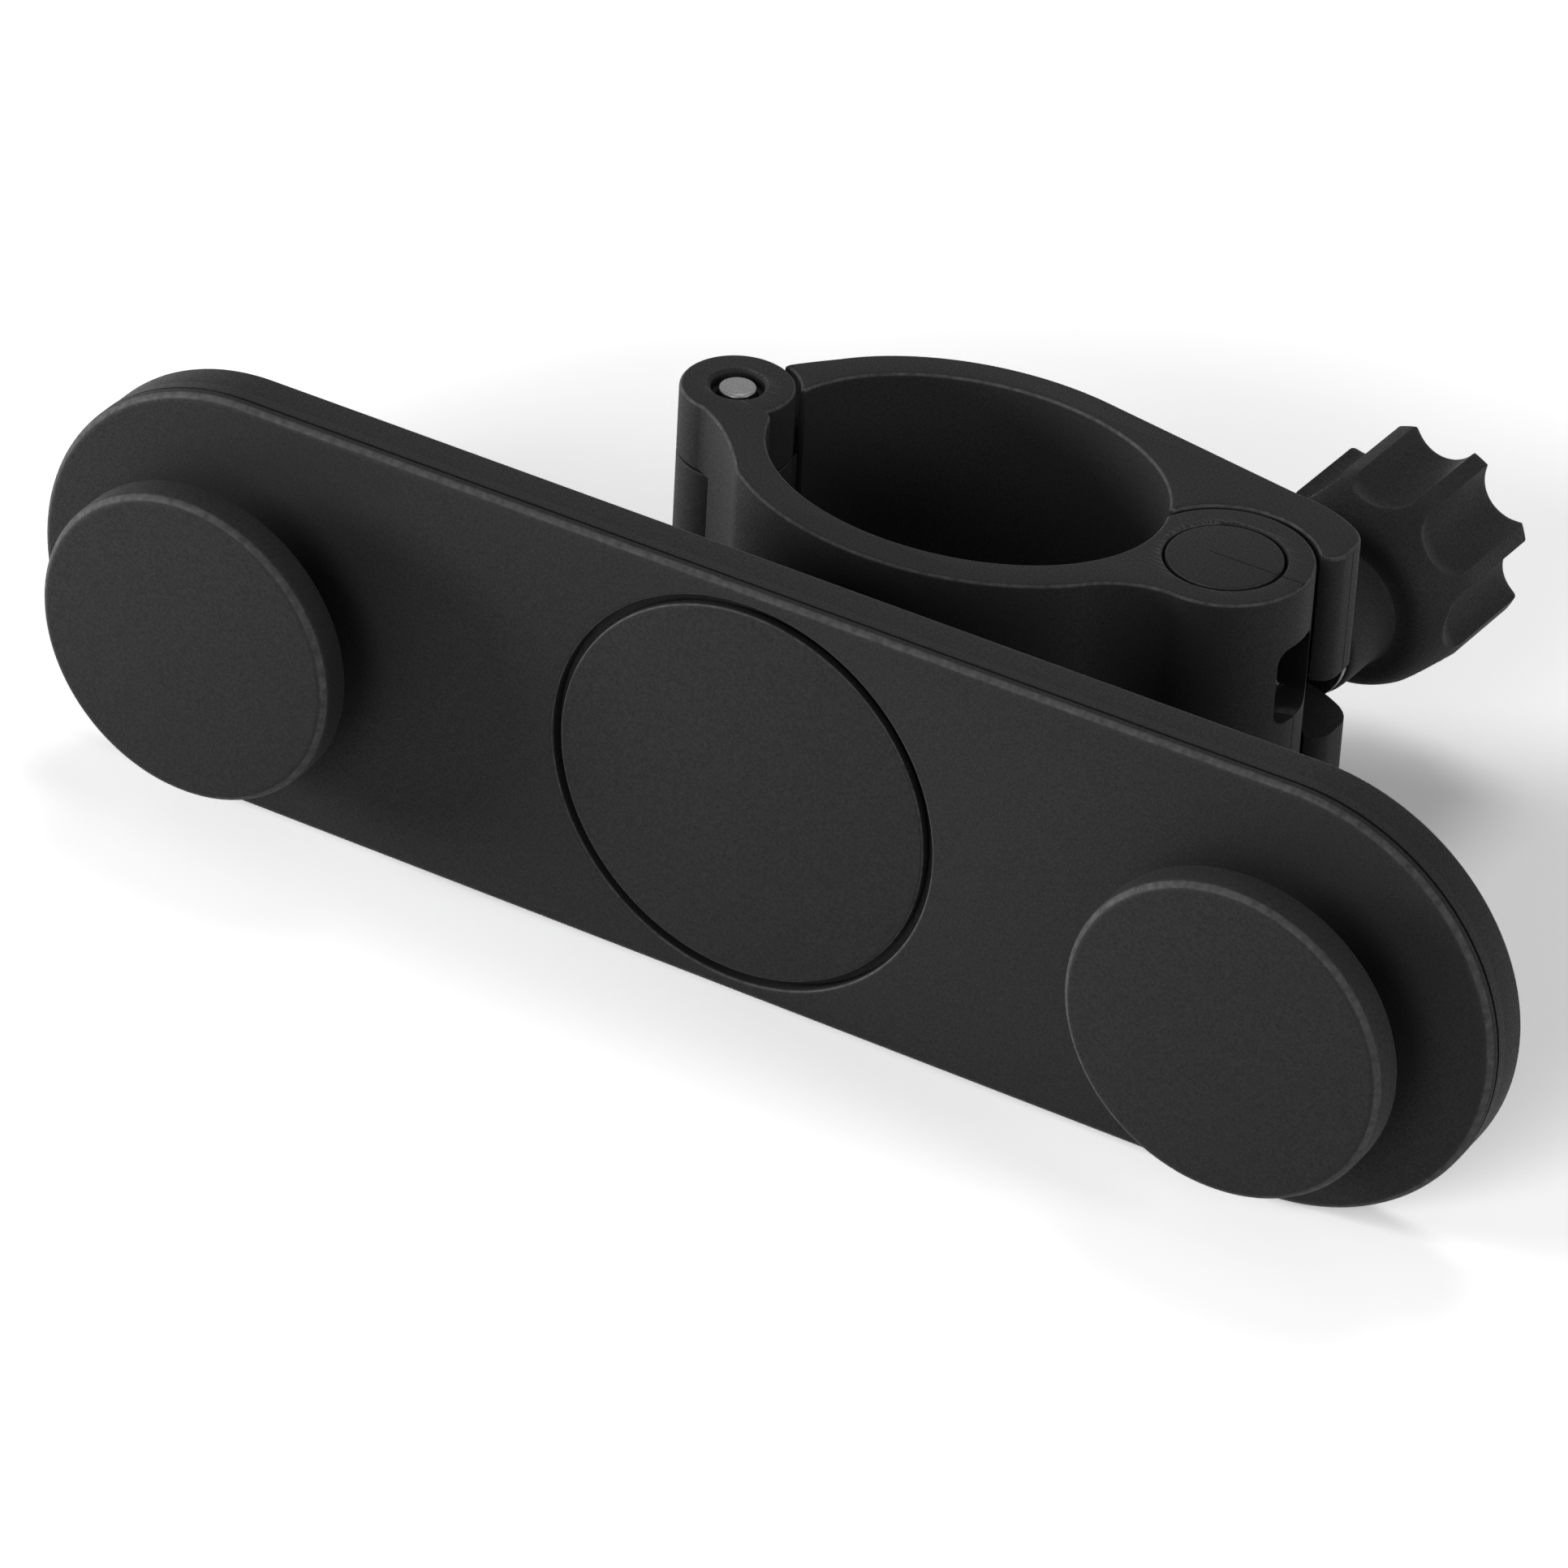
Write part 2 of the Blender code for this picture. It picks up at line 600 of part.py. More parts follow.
def thrust_washer(bolt_pivot):
    inner = BOLT_RADIUS + SHAFT_GAP
    washer = hollow_ring(
        "washer", (0, 0), WASHER_RADIUS, inner, WASHER_START, WASHER_START + WASHER_THICKNESS,
    )
    return finish(washer, "thrust_washer", STEEL, bolt_pivot)


def knob_profile():
    """From the far end to the near end: end face, lobes, shoulder and neck."""
    end = KNOB_END_FROM_BARREL
    grip_start = end - KNOB_GRIP_LENGTH
    shoulder_start = grip_start - KNOB_SHOULDER_LENGTH
    step = KNOB_RADIUS - KNOB_NECK_RADIUS
    return [
        (0.0, end),
        (KNOB_RADIUS - KNOB_EDGE, end),
        (KNOB_RADIUS, end - KNOB_EDGE),
        (KNOB_RADIUS, grip_start),
        (KNOB_NECK_RADIUS + step * 0.85, grip_start - KNOB_SHOULDER_LENGTH * 0.45),
        (KNOB_NECK_RADIUS + step * 0.6, shoulder_start + KNOB_SHOULDER_LENGTH * 0.15),
        (KNOB_NECK_RADIUS + step * 0.15, shoulder_start),
        (KNOB_NECK_RADIUS, shoulder_start - KNOB_EDGE),
        (KNOB_NECK_RADIUS, KNOB_START),
        (0.0, KNOB_START),
    ]


def flute(index):
    """A round-ended groove that leaves a lobe on each side."""
    angle = KNOB_FIRST_LOBE + (index + 0.5) * math.tau / KNOB_LOBES
    distance = KNOB_RADIUS - FLUTE_DEPTH + FLUTE_RADIUS
    start = KNOB_END_FROM_BARREL - KNOB_GRIP_LENGTH
    end = KNOB_END_FROM_BARREL + OVERRUN
    steps = 3
    quarter = [math.pi / 2 * i / steps for i in range(1, steps + 1)]
    profile = [(0.0, end), (FLUTE_RADIUS, end), (FLUTE_RADIUS, start)]
    profile += [(FLUTE_RADIUS * math.cos(a), start - FLUTE_RADIUS * math.sin(a)) for a in quarter[:-1]]
    profile += [(0.0, start - FLUTE_RADIUS)]
    centre = circle_point((0.0, 0.0), distance, angle)
    return turned(f"flute_{index}", profile, centre, sides=SMALL_SIDES)


def knob_body(bolt_pivot):
    """The star knob: a long neck, a sloping shoulder, a fluted grip and a blind hole for the bolt."""
    knob = turned("knob", knob_profile(), sides=LARGE_SIDES)
    insert_end = KNOB_START + SEAT_GAP + INSERT_LENGTH + SEAT_GAP
    hole_end = KNOB_END_FROM_BARREL - KNOB_END_WALL
    cut(knob, *(flute(index) for index in range(KNOB_LOBES)))
    cut(
        knob,
        rod(
            "knob_hole", (0.0, 0.0), BOLT_RADIUS + 2 * SHAFT_GAP, KNOB_START - OVERRUN, hole_end, "Y", SMALL_SIDES,
        ),
        rod(
            "insert_pocket", (0.0, 0.0), INSERT_RADIUS + SHAFT_GAP, KNOB_START - OVERRUN, insert_end, "Y", SMALL_SIDES,
        ),
    )
    return finish(baked(knob), "knob_body", BLACK_PLASTIC, bolt_pivot)


def knob_insert(bolt_pivot):
    start = KNOB_START + SEAT_GAP
    inner = BOLT_RADIUS + SHAFT_GAP
    insert = hollow_ring(
        "insert", (0, 0), INSERT_RADIUS, inner, start, start + INSERT_LENGTH, "Y", SMALL_SIDES,
    )
    return finish(insert, "knob_insert", BRASS, bolt_pivot)


# ---------------------------------------------------------------- plate, in the swivel's frame

def stadium(half_length, half_height):
    middle = half_length - half_height
    right = arc((middle, 0.0), half_height, -90.0, 90.0)
    left = arc((-middle, 0.0), half_height, 90.0, 270.0)
    return right + left


def case_screw_places():
    signs = ((-1, -1), (1, -1), (1, 1), (-1, 1))
    return [(x * CASE_SCREW_HALF_X, z * CASE_SCREW_HALF_Z) for x, z in signs]


def stud_places():
    return {"left": (-STUD_FROM_MIDDLE, 0.0), "right": (STUD_FROM_MIDDLE, 0.0)}


def front_cover(plate_pivot):
    """The face of the plate, with the badge's recess, the way to the swivel screw and the screw holes."""
    outline = stadium(PLATE_HALF_LENGTH, PLATE_HALF_HEIGHT)
    cover = prism("cover", outline, PLATE_FRONT_Y, COVER_BACK_Y, "Y")
    soften_rim(cover, PLATE_FRONT_Y, COVER_EDGE)
    recess_radius = BADGE_RADIUS + BADGE_GROOVE
    past_back = COVER_BACK_Y + OVERRUN
    cutters = [
        rod("badge_recess", (0, 0), recess_radius, PLATE_FRONT_Y - OVERRUN, BADGE_FLOOR_Y, "Y", LARGE_SIDES),
        rod("screw_access", (0, 0), SCREW_ACCESS_RADIUS, PLATE_FRONT_Y, past_back, "Y"),
    ]
    for side, place in stud_places().items():
        radius = STUD_SCREW_RADIUS + SHAFT_GAP
        cutters.append(
            rod(f"{side}_cover_hole", place, radius, PLATE_FRONT_Y - OVERRUN, past_back, "Y", SMALL_SIDES),
        )
    for index, place in enumerate(case_screw_places()):
        low = COVER_BACK_Y - CASE_SCREW_BITE - SEAT_GAP
        radius = CASE_SCREW_RADIUS + SHAFT_GAP
        cutters.append(rod(f"cover_bite_{index}", place, radius, low, past_back, "Y", SMALL_SIDES))
    made = baked(cover)
    cut(made, *cutters)
    return finish(baked(made), "front_cover", BLACK_PLASTIC, plate_pivot)


def soften_rim(obj, place, width):
    """A rounded edge round the rim that lies at one place along Y."""
    group = obj.vertex_groups.new(name="rim")
    rim = [vertex.index for vertex in obj.data.vertices if abs(vertex.co.y - place) < 1e-6]
    group.add(rim, 1.0, "REPLACE")
    bevel = obj.modifiers.new("rim", "BEVEL")
    bevel.width = width
    bevel.segments = 2
    bevel.limit_method = "VGROUP"
    bevel.vertex_group = "rim"


def back_housing(plate_pivot):
    """The shallow tray behind the cover, with pillars for its screws and the hub of the swivel."""
    half_length = PLATE_HALF_LENGTH - HOUSING_INSET
    half_height = PLATE_HALF_HEIGHT - HOUSING_INSET
    tray = prism("tray", stadium(half_length, half_height), HOUSING_FRONT_Y, PLATE_BACK_Y, "Y")
    soften_rim(tray, PLATE_BACK_Y, HOUSING_EDGE)
    inner = stadium(half_length - HOUSING_WALL, half_height - HOUSING_WALL)
    floor_y = PLATE_BACK_Y - HOUSING_FLOOR
    made = baked(tray)
    cut(made, prism("tray_space", inner, HOUSING_FRONT_Y - OVERRUN, floor_y, "Y"))
    unite(made, rod("hub", (0, 0), HUB_RADIUS, HOUSING_FRONT_Y, HUB_END_Y, "Y", LARGE_SIDES))
    for side, place in stud_places().items():
        unite(
            made, rod(f"{side}_pillar", place, STUD_PILLAR_RADIUS, HOUSING_FRONT_Y, PLATE_BACK_Y - HOUSING_EDGE, "Y"),
        )
    for index, place in enumerate(case_screw_places()):
        high = PLATE_BACK_Y - HOUSING_EDGE
        unite(
            made, rod(f"case_pillar_{index}", place, CASE_PILLAR_RADIUS, HOUSING_FRONT_Y, high, "Y", SMALL_SIDES),
        )
    past_back = PLATE_BACK_Y + OVERRUN
    past_front = HOUSING_FRONT_Y - OVERRUN
    cut(
        made,
        rod(
            "swivel_hole", (0, 0), SWIVEL_SCREW_RADIUS + SHAFT_GAP, past_front, HUB_END_Y + OVERRUN, "Y", SMALL_SIDES,
        ),
        rod(
            "swivel_seat", (0, 0), SWIVEL_WASHER_RADIUS + SEAT_GAP, past_front, SWIVEL_SEAT_Y, "Y", SMALL_SIDES,
        ),
    )
    for side, place in stud_places().items():
        head_y = PLATE_BACK_Y - STUD_SCREW_HEAD_HEIGHT - 2 * SEAT_GAP
        shank, head = STUD_SCREW_RADIUS + SHAFT_GAP, STUD_SCREW_HEAD_RADIUS + SHAFT_GAP
        cut(made, rod(f"{side}_housing_hole", place, shank, past_front, past_back, "Y", SMALL_SIDES))
        cut(made, rod(f"{side}_head_hole", place, head, head_y, past_back, "Y", SMALL_SIDES))
    for index, place in enumerate(case_screw_places()):
        head_y = PLATE_BACK_Y - CASE_SCREW_HEAD_HEIGHT - 2 * SEAT_GAP
        shank, head = CASE_SCREW_RADIUS + SHAFT_GAP, CASE_SCREW_HEAD_RADIUS + SHAFT_GAP
        cut(made, rod(f"case_hole_{index}", place, shank, past_front, past_back, "Y", SMALL_SIDES))
        cut(made, rod(f"case_head_hole_{index}", place, head, head_y, past_back, "Y", SMALL_SIDES))
    return finish(baked(made), "back_housing", BLACK_PLASTIC, plate_pivot)


def badge_disc(plate_pivot):
    edge = 0.25 * MM
    back = PLATE_FRONT_Y + BADGE_THICKNESS
    profile = [(0.0, back), (BADGE_RADIUS, back), (BADGE_RADIUS, PLATE_FRONT_Y + edge)]
    profile += [(BADGE_RADIUS - edge, PLATE_FRONT_Y), (0.0, PLATE_FRONT_Y)]
    return finish(turned("badge", profile, sides=LARGE_SIDES), "badge_disc", GRAINED_PLASTIC, plate_pivot)


def stud(side, place, plate_pivot):
    """A mushroom head with a rounded rim on a stem, bored from behind for a threaded insert."""
    head_back = STUD_FACE_Y + STUD_HEAD_THICKNESS
    hole_end = STUD_BASE_Y - STUD_INSERT_LENGTH - 2 * SEAT_GAP
    hole_radius = STUD_INSERT_RADIUS + SHAFT_GAP
    profile = [
        (0.0, hole_end),
        (hole_radius, hole_end),
        (hole_radius, STUD_BASE_Y),
        (STUD_STEM_RADIUS, STUD_BASE_Y),
        (STUD_STEM_RADIUS, head_back),
        (STUD_RADIUS - STUD_EDGE / 2, head_back),
        (STUD_RADIUS, head_back - STUD_EDGE / 2),
        (STUD_RADIUS, STUD_FACE_Y + STUD_EDGE),
        (STUD_RADIUS - STUD_EDGE * 0.3, STUD_FACE_Y + STUD_EDGE * 0.3),
        (STUD_RADIUS - STUD_EDGE, STUD_FACE_Y),
        (0.0, STUD_FACE_Y),
    ]
    made = turned(f"{side}_mushroom", profile, place, sides=SIDES)
    return finish(made, f"{side}_stud", BLACK_PLASTIC, plate_pivot)


def stud_insert(side, place, plate_pivot):
    end = STUD_BASE_Y - SEAT_GAP
    start = end - STUD_INSERT_LENGTH
    inner = STUD_SCREW_RADIUS + SHAFT_GAP
    insert = hollow_ring("stud_insert", place, STUD_INSERT_RADIUS, inner, start, end, "Y", SMALL_SIDES)
    return finish(insert, f"{side}_stud_insert", BRASS, plate_pivot)


def stud_screw(side, place, plate_pivot):
    head_start = PLATE_BACK_Y - SEAT_GAP
    end = STUD_BASE_Y - STUD_INSERT_LENGTH
    sizes = (STUD_SCREW_HEAD_RADIUS, STUD_SCREW_HEAD_HEIGHT, STUD_SCREW_RADIUS, end)
    made = pan_screw("stud_screw", place, head_start, *sizes)
    return finish(made, f"{side}_stud_screw", STEEL, plate_pivot)


def case_screw(index, place, plate_pivot):
    head_start = PLATE_BACK_Y - SEAT_GAP
    end = COVER_BACK_Y - CASE_SCREW_BITE
    sizes = (CASE_SCREW_HEAD_RADIUS, CASE_SCREW_HEAD_HEIGHT, CASE_SCREW_RADIUS, end)
    made = pan_screw("case_screw", place, head_start, *sizes)
    return finish(made, f"case_screw_{index + 1}", STEEL, plate_pivot)


# ---------------------------------------------------------------- swivel hardware, fixed to the clamp

def swivel_screw():
    head_start = SWIVEL_HEAD_FRONT_Y
    end = FOOT_Y + SWIVEL_INSERT_LENGTH
    sizes = (SWIVEL_HEAD_RADIUS, SWIVEL_HEAD_HEIGHT, SWIVEL_SCREW_RADIUS, end)
    return finish(pan_screw("swivel_screw", (PLATE_SHIFT, 0.0), head_start, *sizes), "swivel_screw", STEEL)


def swivel_washer():
    inner = SWIVEL_SCREW_RADIUS + SHAFT_GAP
    start = SWIVEL_WASHER_FRONT_Y
    end = start + SWIVEL_WASHER_THICKNESS
    washer = hollow_ring(
        "washer", (PLATE_SHIFT, 0.0), SWIVEL_WASHER_RADIUS, inner, start, end, "Y", SMALL_SIDES,
    )
    return finish(washer, "swivel_washer", STEEL)


def swivel_insert():
    inner = SWIVEL_SCREW_RADIUS + SHAFT_GAP
    start = FOOT_Y + SEAT_GAP
    end = start + SWIVEL_INSERT_LENGTH
    insert = hollow_ring(
        "insert", (PLATE_SHIFT, 0.0), SWIVEL_INSERT_RADIUS, inner, start, end, "Y", SMALL_SIDES,
    )
    return finish(insert, "swivel_insert", BRASS)


def friction_ring():
    inner = SWIVEL_SCREW_RADIUS + SEAT_GAP
    start = HUB_END_Y + SEAT_GAP
    ring = hollow_ring("ring", (PLATE_SHIFT, 0.0), RING_RADIUS, inner, start, start + RING_THICKNESS)
    return finish(ring, "friction_ring", GREY_NYLON)


# ---------------------------------------------------------------- the whole mount

clear_scene()
PARTS = new_collection(OBJECT_NAME, False)
CUTTERS = new_collection("cutters", True)
BLACK_PLASTIC = material("black_plastic", (0.028, 0.028, 0.029), 0.55, 0.0)
GRAINED_PLASTIC = material("grained_plastic", (0.031, 0.031, 0.032), 0.7, 0.0)
STEEL = material("steel", (0.42, 0.42, 0.43), 0.28, 1.0)
BRASS = material("brass", (0.70, 0.53, 0.25), 0.35, 1.0)
GREY_NYLON = material("grey_nylon", (0.25, 0.25, 0.24), 0.6, 0.0)


def build():
    clamp_front_half()
    hinge_pin()
    swivel_insert()
    swivel_screw()
    swivel_washer()
    friction_ring()

    clamp_rear_arm(pivot("arm_hinge", HINGE))

    bolt_pivot = pivot("bolt_swing", BARREL, -BOLT_LEAN)
    bolt_barrel(bolt_pivot)
    swing_bolt(bolt_pivot)
    thrust_washer(bolt_pivot)
    knob_body(bolt_pivot)
    knob_insert(bolt_pivot)

    plate_pivot = pivot("plate_swivel", (PLATE_SHIFT, 0.0, 0.0))
    front_cover(plate_pivot)
    back_housing(plate_pivot)
    badge_disc(plate_pivot)
    for side, place in stud_places().items():
        stud(side, place, plate_pivot)
        stud_insert(side, place, plate_pivot)
        stud_screw(side, place, plate_pivot)
    for index, place in enumerate(case_screw_places()):
        case_screw(index, place, plate_pivot)


build()
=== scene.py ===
"""Handlebar phone mount: the finished surfaces, fittings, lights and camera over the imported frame."""

import json
import math

import bmesh
import bpy
from bpy.props import FloatProperty, FloatVectorProperty, IntProperty, PointerProperty
from mathutils import Matrix, Vector


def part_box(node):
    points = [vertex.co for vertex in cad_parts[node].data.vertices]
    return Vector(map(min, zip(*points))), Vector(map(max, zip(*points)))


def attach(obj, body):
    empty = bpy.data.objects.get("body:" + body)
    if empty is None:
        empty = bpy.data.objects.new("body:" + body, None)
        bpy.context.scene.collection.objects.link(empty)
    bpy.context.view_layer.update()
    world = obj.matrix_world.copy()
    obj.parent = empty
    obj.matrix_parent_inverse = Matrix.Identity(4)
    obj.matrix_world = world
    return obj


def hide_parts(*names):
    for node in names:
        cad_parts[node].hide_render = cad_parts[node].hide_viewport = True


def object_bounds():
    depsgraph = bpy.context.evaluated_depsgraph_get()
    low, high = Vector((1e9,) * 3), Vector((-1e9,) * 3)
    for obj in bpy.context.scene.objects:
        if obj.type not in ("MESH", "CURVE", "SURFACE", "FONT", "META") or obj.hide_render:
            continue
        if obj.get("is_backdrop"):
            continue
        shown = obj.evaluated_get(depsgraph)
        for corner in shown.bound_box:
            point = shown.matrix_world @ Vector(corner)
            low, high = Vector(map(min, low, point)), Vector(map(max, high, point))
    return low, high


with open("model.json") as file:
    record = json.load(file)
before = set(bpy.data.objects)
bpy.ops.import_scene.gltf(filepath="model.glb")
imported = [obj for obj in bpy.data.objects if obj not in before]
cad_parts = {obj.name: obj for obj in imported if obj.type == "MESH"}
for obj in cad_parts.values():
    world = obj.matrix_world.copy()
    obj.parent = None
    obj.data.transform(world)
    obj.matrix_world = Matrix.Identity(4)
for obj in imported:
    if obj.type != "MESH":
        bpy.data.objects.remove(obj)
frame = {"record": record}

bl_info = {
    "name": "Phone Mount",
    "version": (1, 0, 0),
    "blender": (4, 5, 0),
    "location": "View3D > Sidebar > Phone Mount",
    "description": "Builds a handlebar phone mount with its clamp, swing bolt, star knob and stud plate",
    "category": "Object",
}

MM = 0.001

# Places that the frame gives: joint axes and the faces that pieces sit on.
JOINTS = {joint["name"]: joint for joint in frame["record"]["behaviour"]["joints"]}
HINGE = Vector(JOINTS["arm_open"]["pos_m"])
BARREL = Vector(JOINTS["bolt_swing"]["pos_m"])
BOLT_WAY = Vector(JOINTS["knob_travel"]["axis"]).normalized()
PLATE_X = JOINTS["plate_swivel"]["pos_m"][0]
CLAMP_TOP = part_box("clamp_front_half")[1][2]
UP = Vector((0.0, 0.0, 1.0))
BACKWARDS = Vector((0.0, 1.0, 0.0))


# ---------------------------------------------------------------- sizes and colours

def length(name, millimetres, description):
    return FloatProperty(name=name, description=description, default=millimetres * MM, unit="LENGTH", precision=5)


def angle(name, degrees, description):
    return FloatProperty(name=name, description=description, default=math.radians(degrees), subtype="ANGLE")


def amount(name, value, description):
    return FloatProperty(name=name, description=description, default=value, precision=4)


def colour(name, value, description):
    return FloatVectorProperty(name=name, description=description, default=value, subtype="COLOR", min=0.0, max=1.0)


class ClampSizes(bpy.types.PropertyGroup):
    bore_half_width: length("Bore half width", 18.0, "Half the bore's width, from hinge to boss")
    bore_half_depth: length("Bore half depth", 13.6, "Half the bore's depth, from plate to knob")
    front_wall: length("Front wall", 3.5, "Thickness of the front half's ring")
    rear_wall: length("Rear wall", 3.1, "Thickness of the rear arm's ring")
    rim: length("Rim radius", 0.4, "Rounding of the top and bottom rims")
    knuckle_radius: length("Knuckle radius", 5.0, "Radius of the hinge knuckles")
    knuckle_height: length("Knuckle height", 6.3, "Height of the upper and lower knuckles")
    knuckle_gap: length("Knuckle gap", 0.35, "Gap between the arm's end and the knuckles")
    window_gap: length("Window gap", 0.8, "Gap round the middle knuckle in the front half's window")
    pin_radius: length("Pin radius", 1.7, "Radius of the hinge pin")
    pin_recess: length("Pin recess radius", 2.35, "Radius of the recess round the pin's end")
    pin_recess_depth: length("Pin recess depth", 1.1, "Depth of the recess round the pin's end")
    boss_radius: length("Boss radius", 7.65, "Radius of the swing bolt's boss")
    barrel_hole: length("Barrel hole radius", 5.25, "Radius of the hole for the barrel")
    nest_gap: length("Nest gap", 0.35, "Gap between the boss and the arm's end")
    arm_end_radius: length("Arm end radius", 12.45, "Radius of the arm's round end about the barrel")
    arm_end_reach: length("Arm end reach", 8.2, "How far the arm's end face lies past the barrel")
    slot_half_height: length("Slot half height", 2.85, "Half the height of the bolt's slots")
    seam: length("Mould seam", 0.09, "Width of the mould's parting line")
    foot_radius: length("Foot radius", 10.0, "Radius of the swivel's foot")


class BoltSizes(bpy.types.PropertyGroup):
    barrel_radius: length("Barrel radius", 5.0, "Radius of the barrel that the bolt turns on")
    bolt_radius: length("Bolt radius", 2.5, "Radius over the bolt's thread")
    thread_depth: length("Thread depth", 0.35, "Depth of the thread")
    pitch: length("Thread pitch", 0.8, "Distance from one turn of the thread to the next")
    head_radius: length("Head radius", 3.3, "Radius of the bolt's head")
    head_height: length("Head height", 2.4, "Height of the bolt's head")
    head_inset: length("Head inset", 1.5, "Depth of the head below the barrel's surface")
    end: length("Bolt end", 33.0, "Distance of the bolt's end from the barrel")
    knob_start: length("Knob start", 13.8, "Distance of the knob's near end from the barrel")
    knob_end: length("Knob end", 36.6, "Distance of the knob's far end from the barrel")
    grip_length: length("Grip length", 10.0, "Length of the fluted grip")
    neck_radius: length("Neck radius", 5.6, "Radius of the knob's neck")
    knob_radius: length("Knob radius", 9.7, "Radius over the knob's lobes")
    knob_edge: length("Knob edge", 0.7, "Rounding of the knob's far edge")
    flute_radius: length("Flute radius", 3.3, "Radius of a flute")
    flute_depth: length("Flute depth", 2.2, "Depth of a flute")
    flute_blend: length("Flute blend", 0.36, "Softness of the edge between a flute and a lobe")
    first_lobe: angle("First lobe", 18.5, "Angle of the first lobe")
    lobes: IntProperty(name="Lobes", description="Number of lobes on the knob", default=8, min=3)
    insert_radius: length("Insert radius", 3.85, "Radius of the knob's pocket for its threaded insert")
    insert_end: length("Pocket end", 22.1, "Distance of the pocket's end from the barrel")
    hole_radius: length("Hole radius", 2.8, "Radius of the blind hole for the bolt")
    hole_end: length("Hole end", 34.6, "Distance of the blind hole's end from the barrel")


class PlateSizes(bpy.types.PropertyGroup):
    half_length: length("Half length", 69.8, "Half the plate's length")
    half_height: length("Half height", 19.8, "Half the plate's height")
    cover_edge: length("Cover edge", 0.9, "Rounding of the cover's front rim")
    bead_groove: length("Bead groove", 0.28, "Width and depth of the groove behind the cover's rounded rim")
    housing_edge: length("Housing edge", 0.6, "Rounding of the housing's back rim")
    housing_inset: length("Housing inset", 0.04, "How far the housing's side lies inside the cover's")
    housing_wall: length("Housing wall", 2.0, "Thickness of the housing's side wall")
    housing_floor: length("Housing floor", 1.4, "Thickness of the housing's back")
    hub_radius: length("Hub radius", 11.5, "Radius of the swivel's hub")
    badge_radius: length("Badge radius", 17.5, "Radius of the badge disc")
    badge_groove: length("Badge groove", 0.75, "Width of the groove round the badge")
    badge_edge: length("Badge edge", 0.35, "Rounding of the badge and of its groove's outer edge")
    screw_access: length("Screw access", 6.5, "Radius of the way through to the swivel screw")
    stud_from_middle: length("Stud place", 49.77, "Distance of each stud from the plate's middle")
    stud_radius: length("Stud radius", 14.42, "Radius of a stud's head")
    stud_edge: length("Stud edge", 0.95, "Rounding of a stud's front rim")
    stud_head: length("Stud head", 3.3, "Thickness of a stud's head")
    stud_stem: length("Stem radius", 7.5, "Radius of a stud's stem")
    screw_half_x: length("Screw half spacing X", 30.0, "Half the spacing of the case screws along the plate")
    screw_half_z: length("Screw half spacing Z", 13.0, "Half the spacing of the case screws across the plate")


class Finishes(bpy.types.PropertyGroup):
    plastic_dark: colour("Plastic, dark", (0.0120, 0.0120, 0.0123), "Dark speck of the moulded plastic")
    plastic_light: colour("Plastic, light", (0.0225, 0.0225, 0.0229), "Light speck of the moulded plastic")
    # Colour of the painted highlight along the plastic's narrow rounded rims.
    rim_highlight_colour: colour("Rim highlight", (0.095, 0.095, 0.097), "Polished edge of the moulded plastic")
    steel: colour("Steel", (0.21, 0.21, 0.215), "Plated steel")
    brass: colour("Brass", (0.70, 0.53, 0.25), "Turned brass")
    nylon: colour("Nylon", (0.25, 0.25, 0.24), "Grey nylon of the friction ring")
    grain: length("Grain size", 0.2, "Size of the plastic's grain")
    coarse_grain: length("Coarse grain size", 0.23, "Size of the grain on the studs and the badge")


class StageSizes(bpy.types.PropertyGroup):
    azimuth: angle("Azimuth", 29.43, "Turn of the camera round the mount")
    elevation: angle("Elevation", 33.442, "Height of the camera above the horizon")
    roll: angle("Roll", -3.237, "Turn of the camera about its own line of sight")
    distance: length("Distance", 755.81, "Distance of the camera from the plate's middle")
    aim_right: length("Aim right", 3.726, "How far the aim lies to the right of the plate's middle")
    aim_up: length("Aim up", 0.977, "How far the aim lies above the plate's middle")
    lens: amount("Lens", 210.94, "Focal length of the camera, in millimetres")
    room_light: amount("Room light", 0.09, "Strength of the even light of the room")
    floor_bounce: amount("Floor bounce", 0.3, "Tone of the floor for the light that it sends back to the mount")
    floor_shown: amount("Floor shown", 2.3, "Tone of the floor that the camera sees")
    floor_near: length("Floor near", 80.0, "Distance from the mount at which the floor starts to fade to white")
    floor_far: length("Floor far", 260.0, "Distance from the mount at which the floor is white")


# ---------------------------------------------------------------- outlines and meshes

def circle_point(centre, radius, turn):
    return (centre[0] + radius * math.cos(turn), centre[1] + radius * math.sin(turn))


def arc(centre, radius, start, end, step=4.0):
    """Points on an arc from one angle to another, in degrees."""
    count = max(2, round(abs(end - start) / step))
    return [circle_point(centre, radius, math.radians(start + (end - start) * i / count)) for i in range(count + 1)]


def oval(half_width, half_depth, start, end, step=2.5):
    return [(x * half_width, y * half_depth) for x, y in arc((0.0, 0.0), 1.0, start, end, step)]


def bend(start, corner, end, count=8):
    """A smooth curve that rounds a corner."""
    points = []
    for step in range(count + 1):
        t = step / count
        points.append(tuple((1 - t) ** 2 * a + 2 * t * (1 - t) * b + t * t * c for a, b, c in zip(start, corner, end)))
    return points


def soften(points, radius, count=4):
    """Rounds each inner corner of a profile."""
    made = [points[0]]
    for before, corner, after in zip(points, points[1:], points[2:]):
        before, corner, after = Vector(before), Vector(corner), Vector(after)
        first = min(radius, (before - corner).length * 0.45)
        second = min(radius, (after - corner).length * 0.45)
        start = corner + (before - corner).normalized() * first
        end = corner + (after - corner).normalized() * second
        made += bend(start, corner, end, count)
    return made + [points[-1]]


def facing(origin, way, up=UP):
    """A frame at origin whose third axis runs along way. Its second axis is up."""
    frame_axes = Matrix((way.cross(up), up, way)).transposed().to_4x4()
    return Matrix.Translation(origin) @ frame_axes


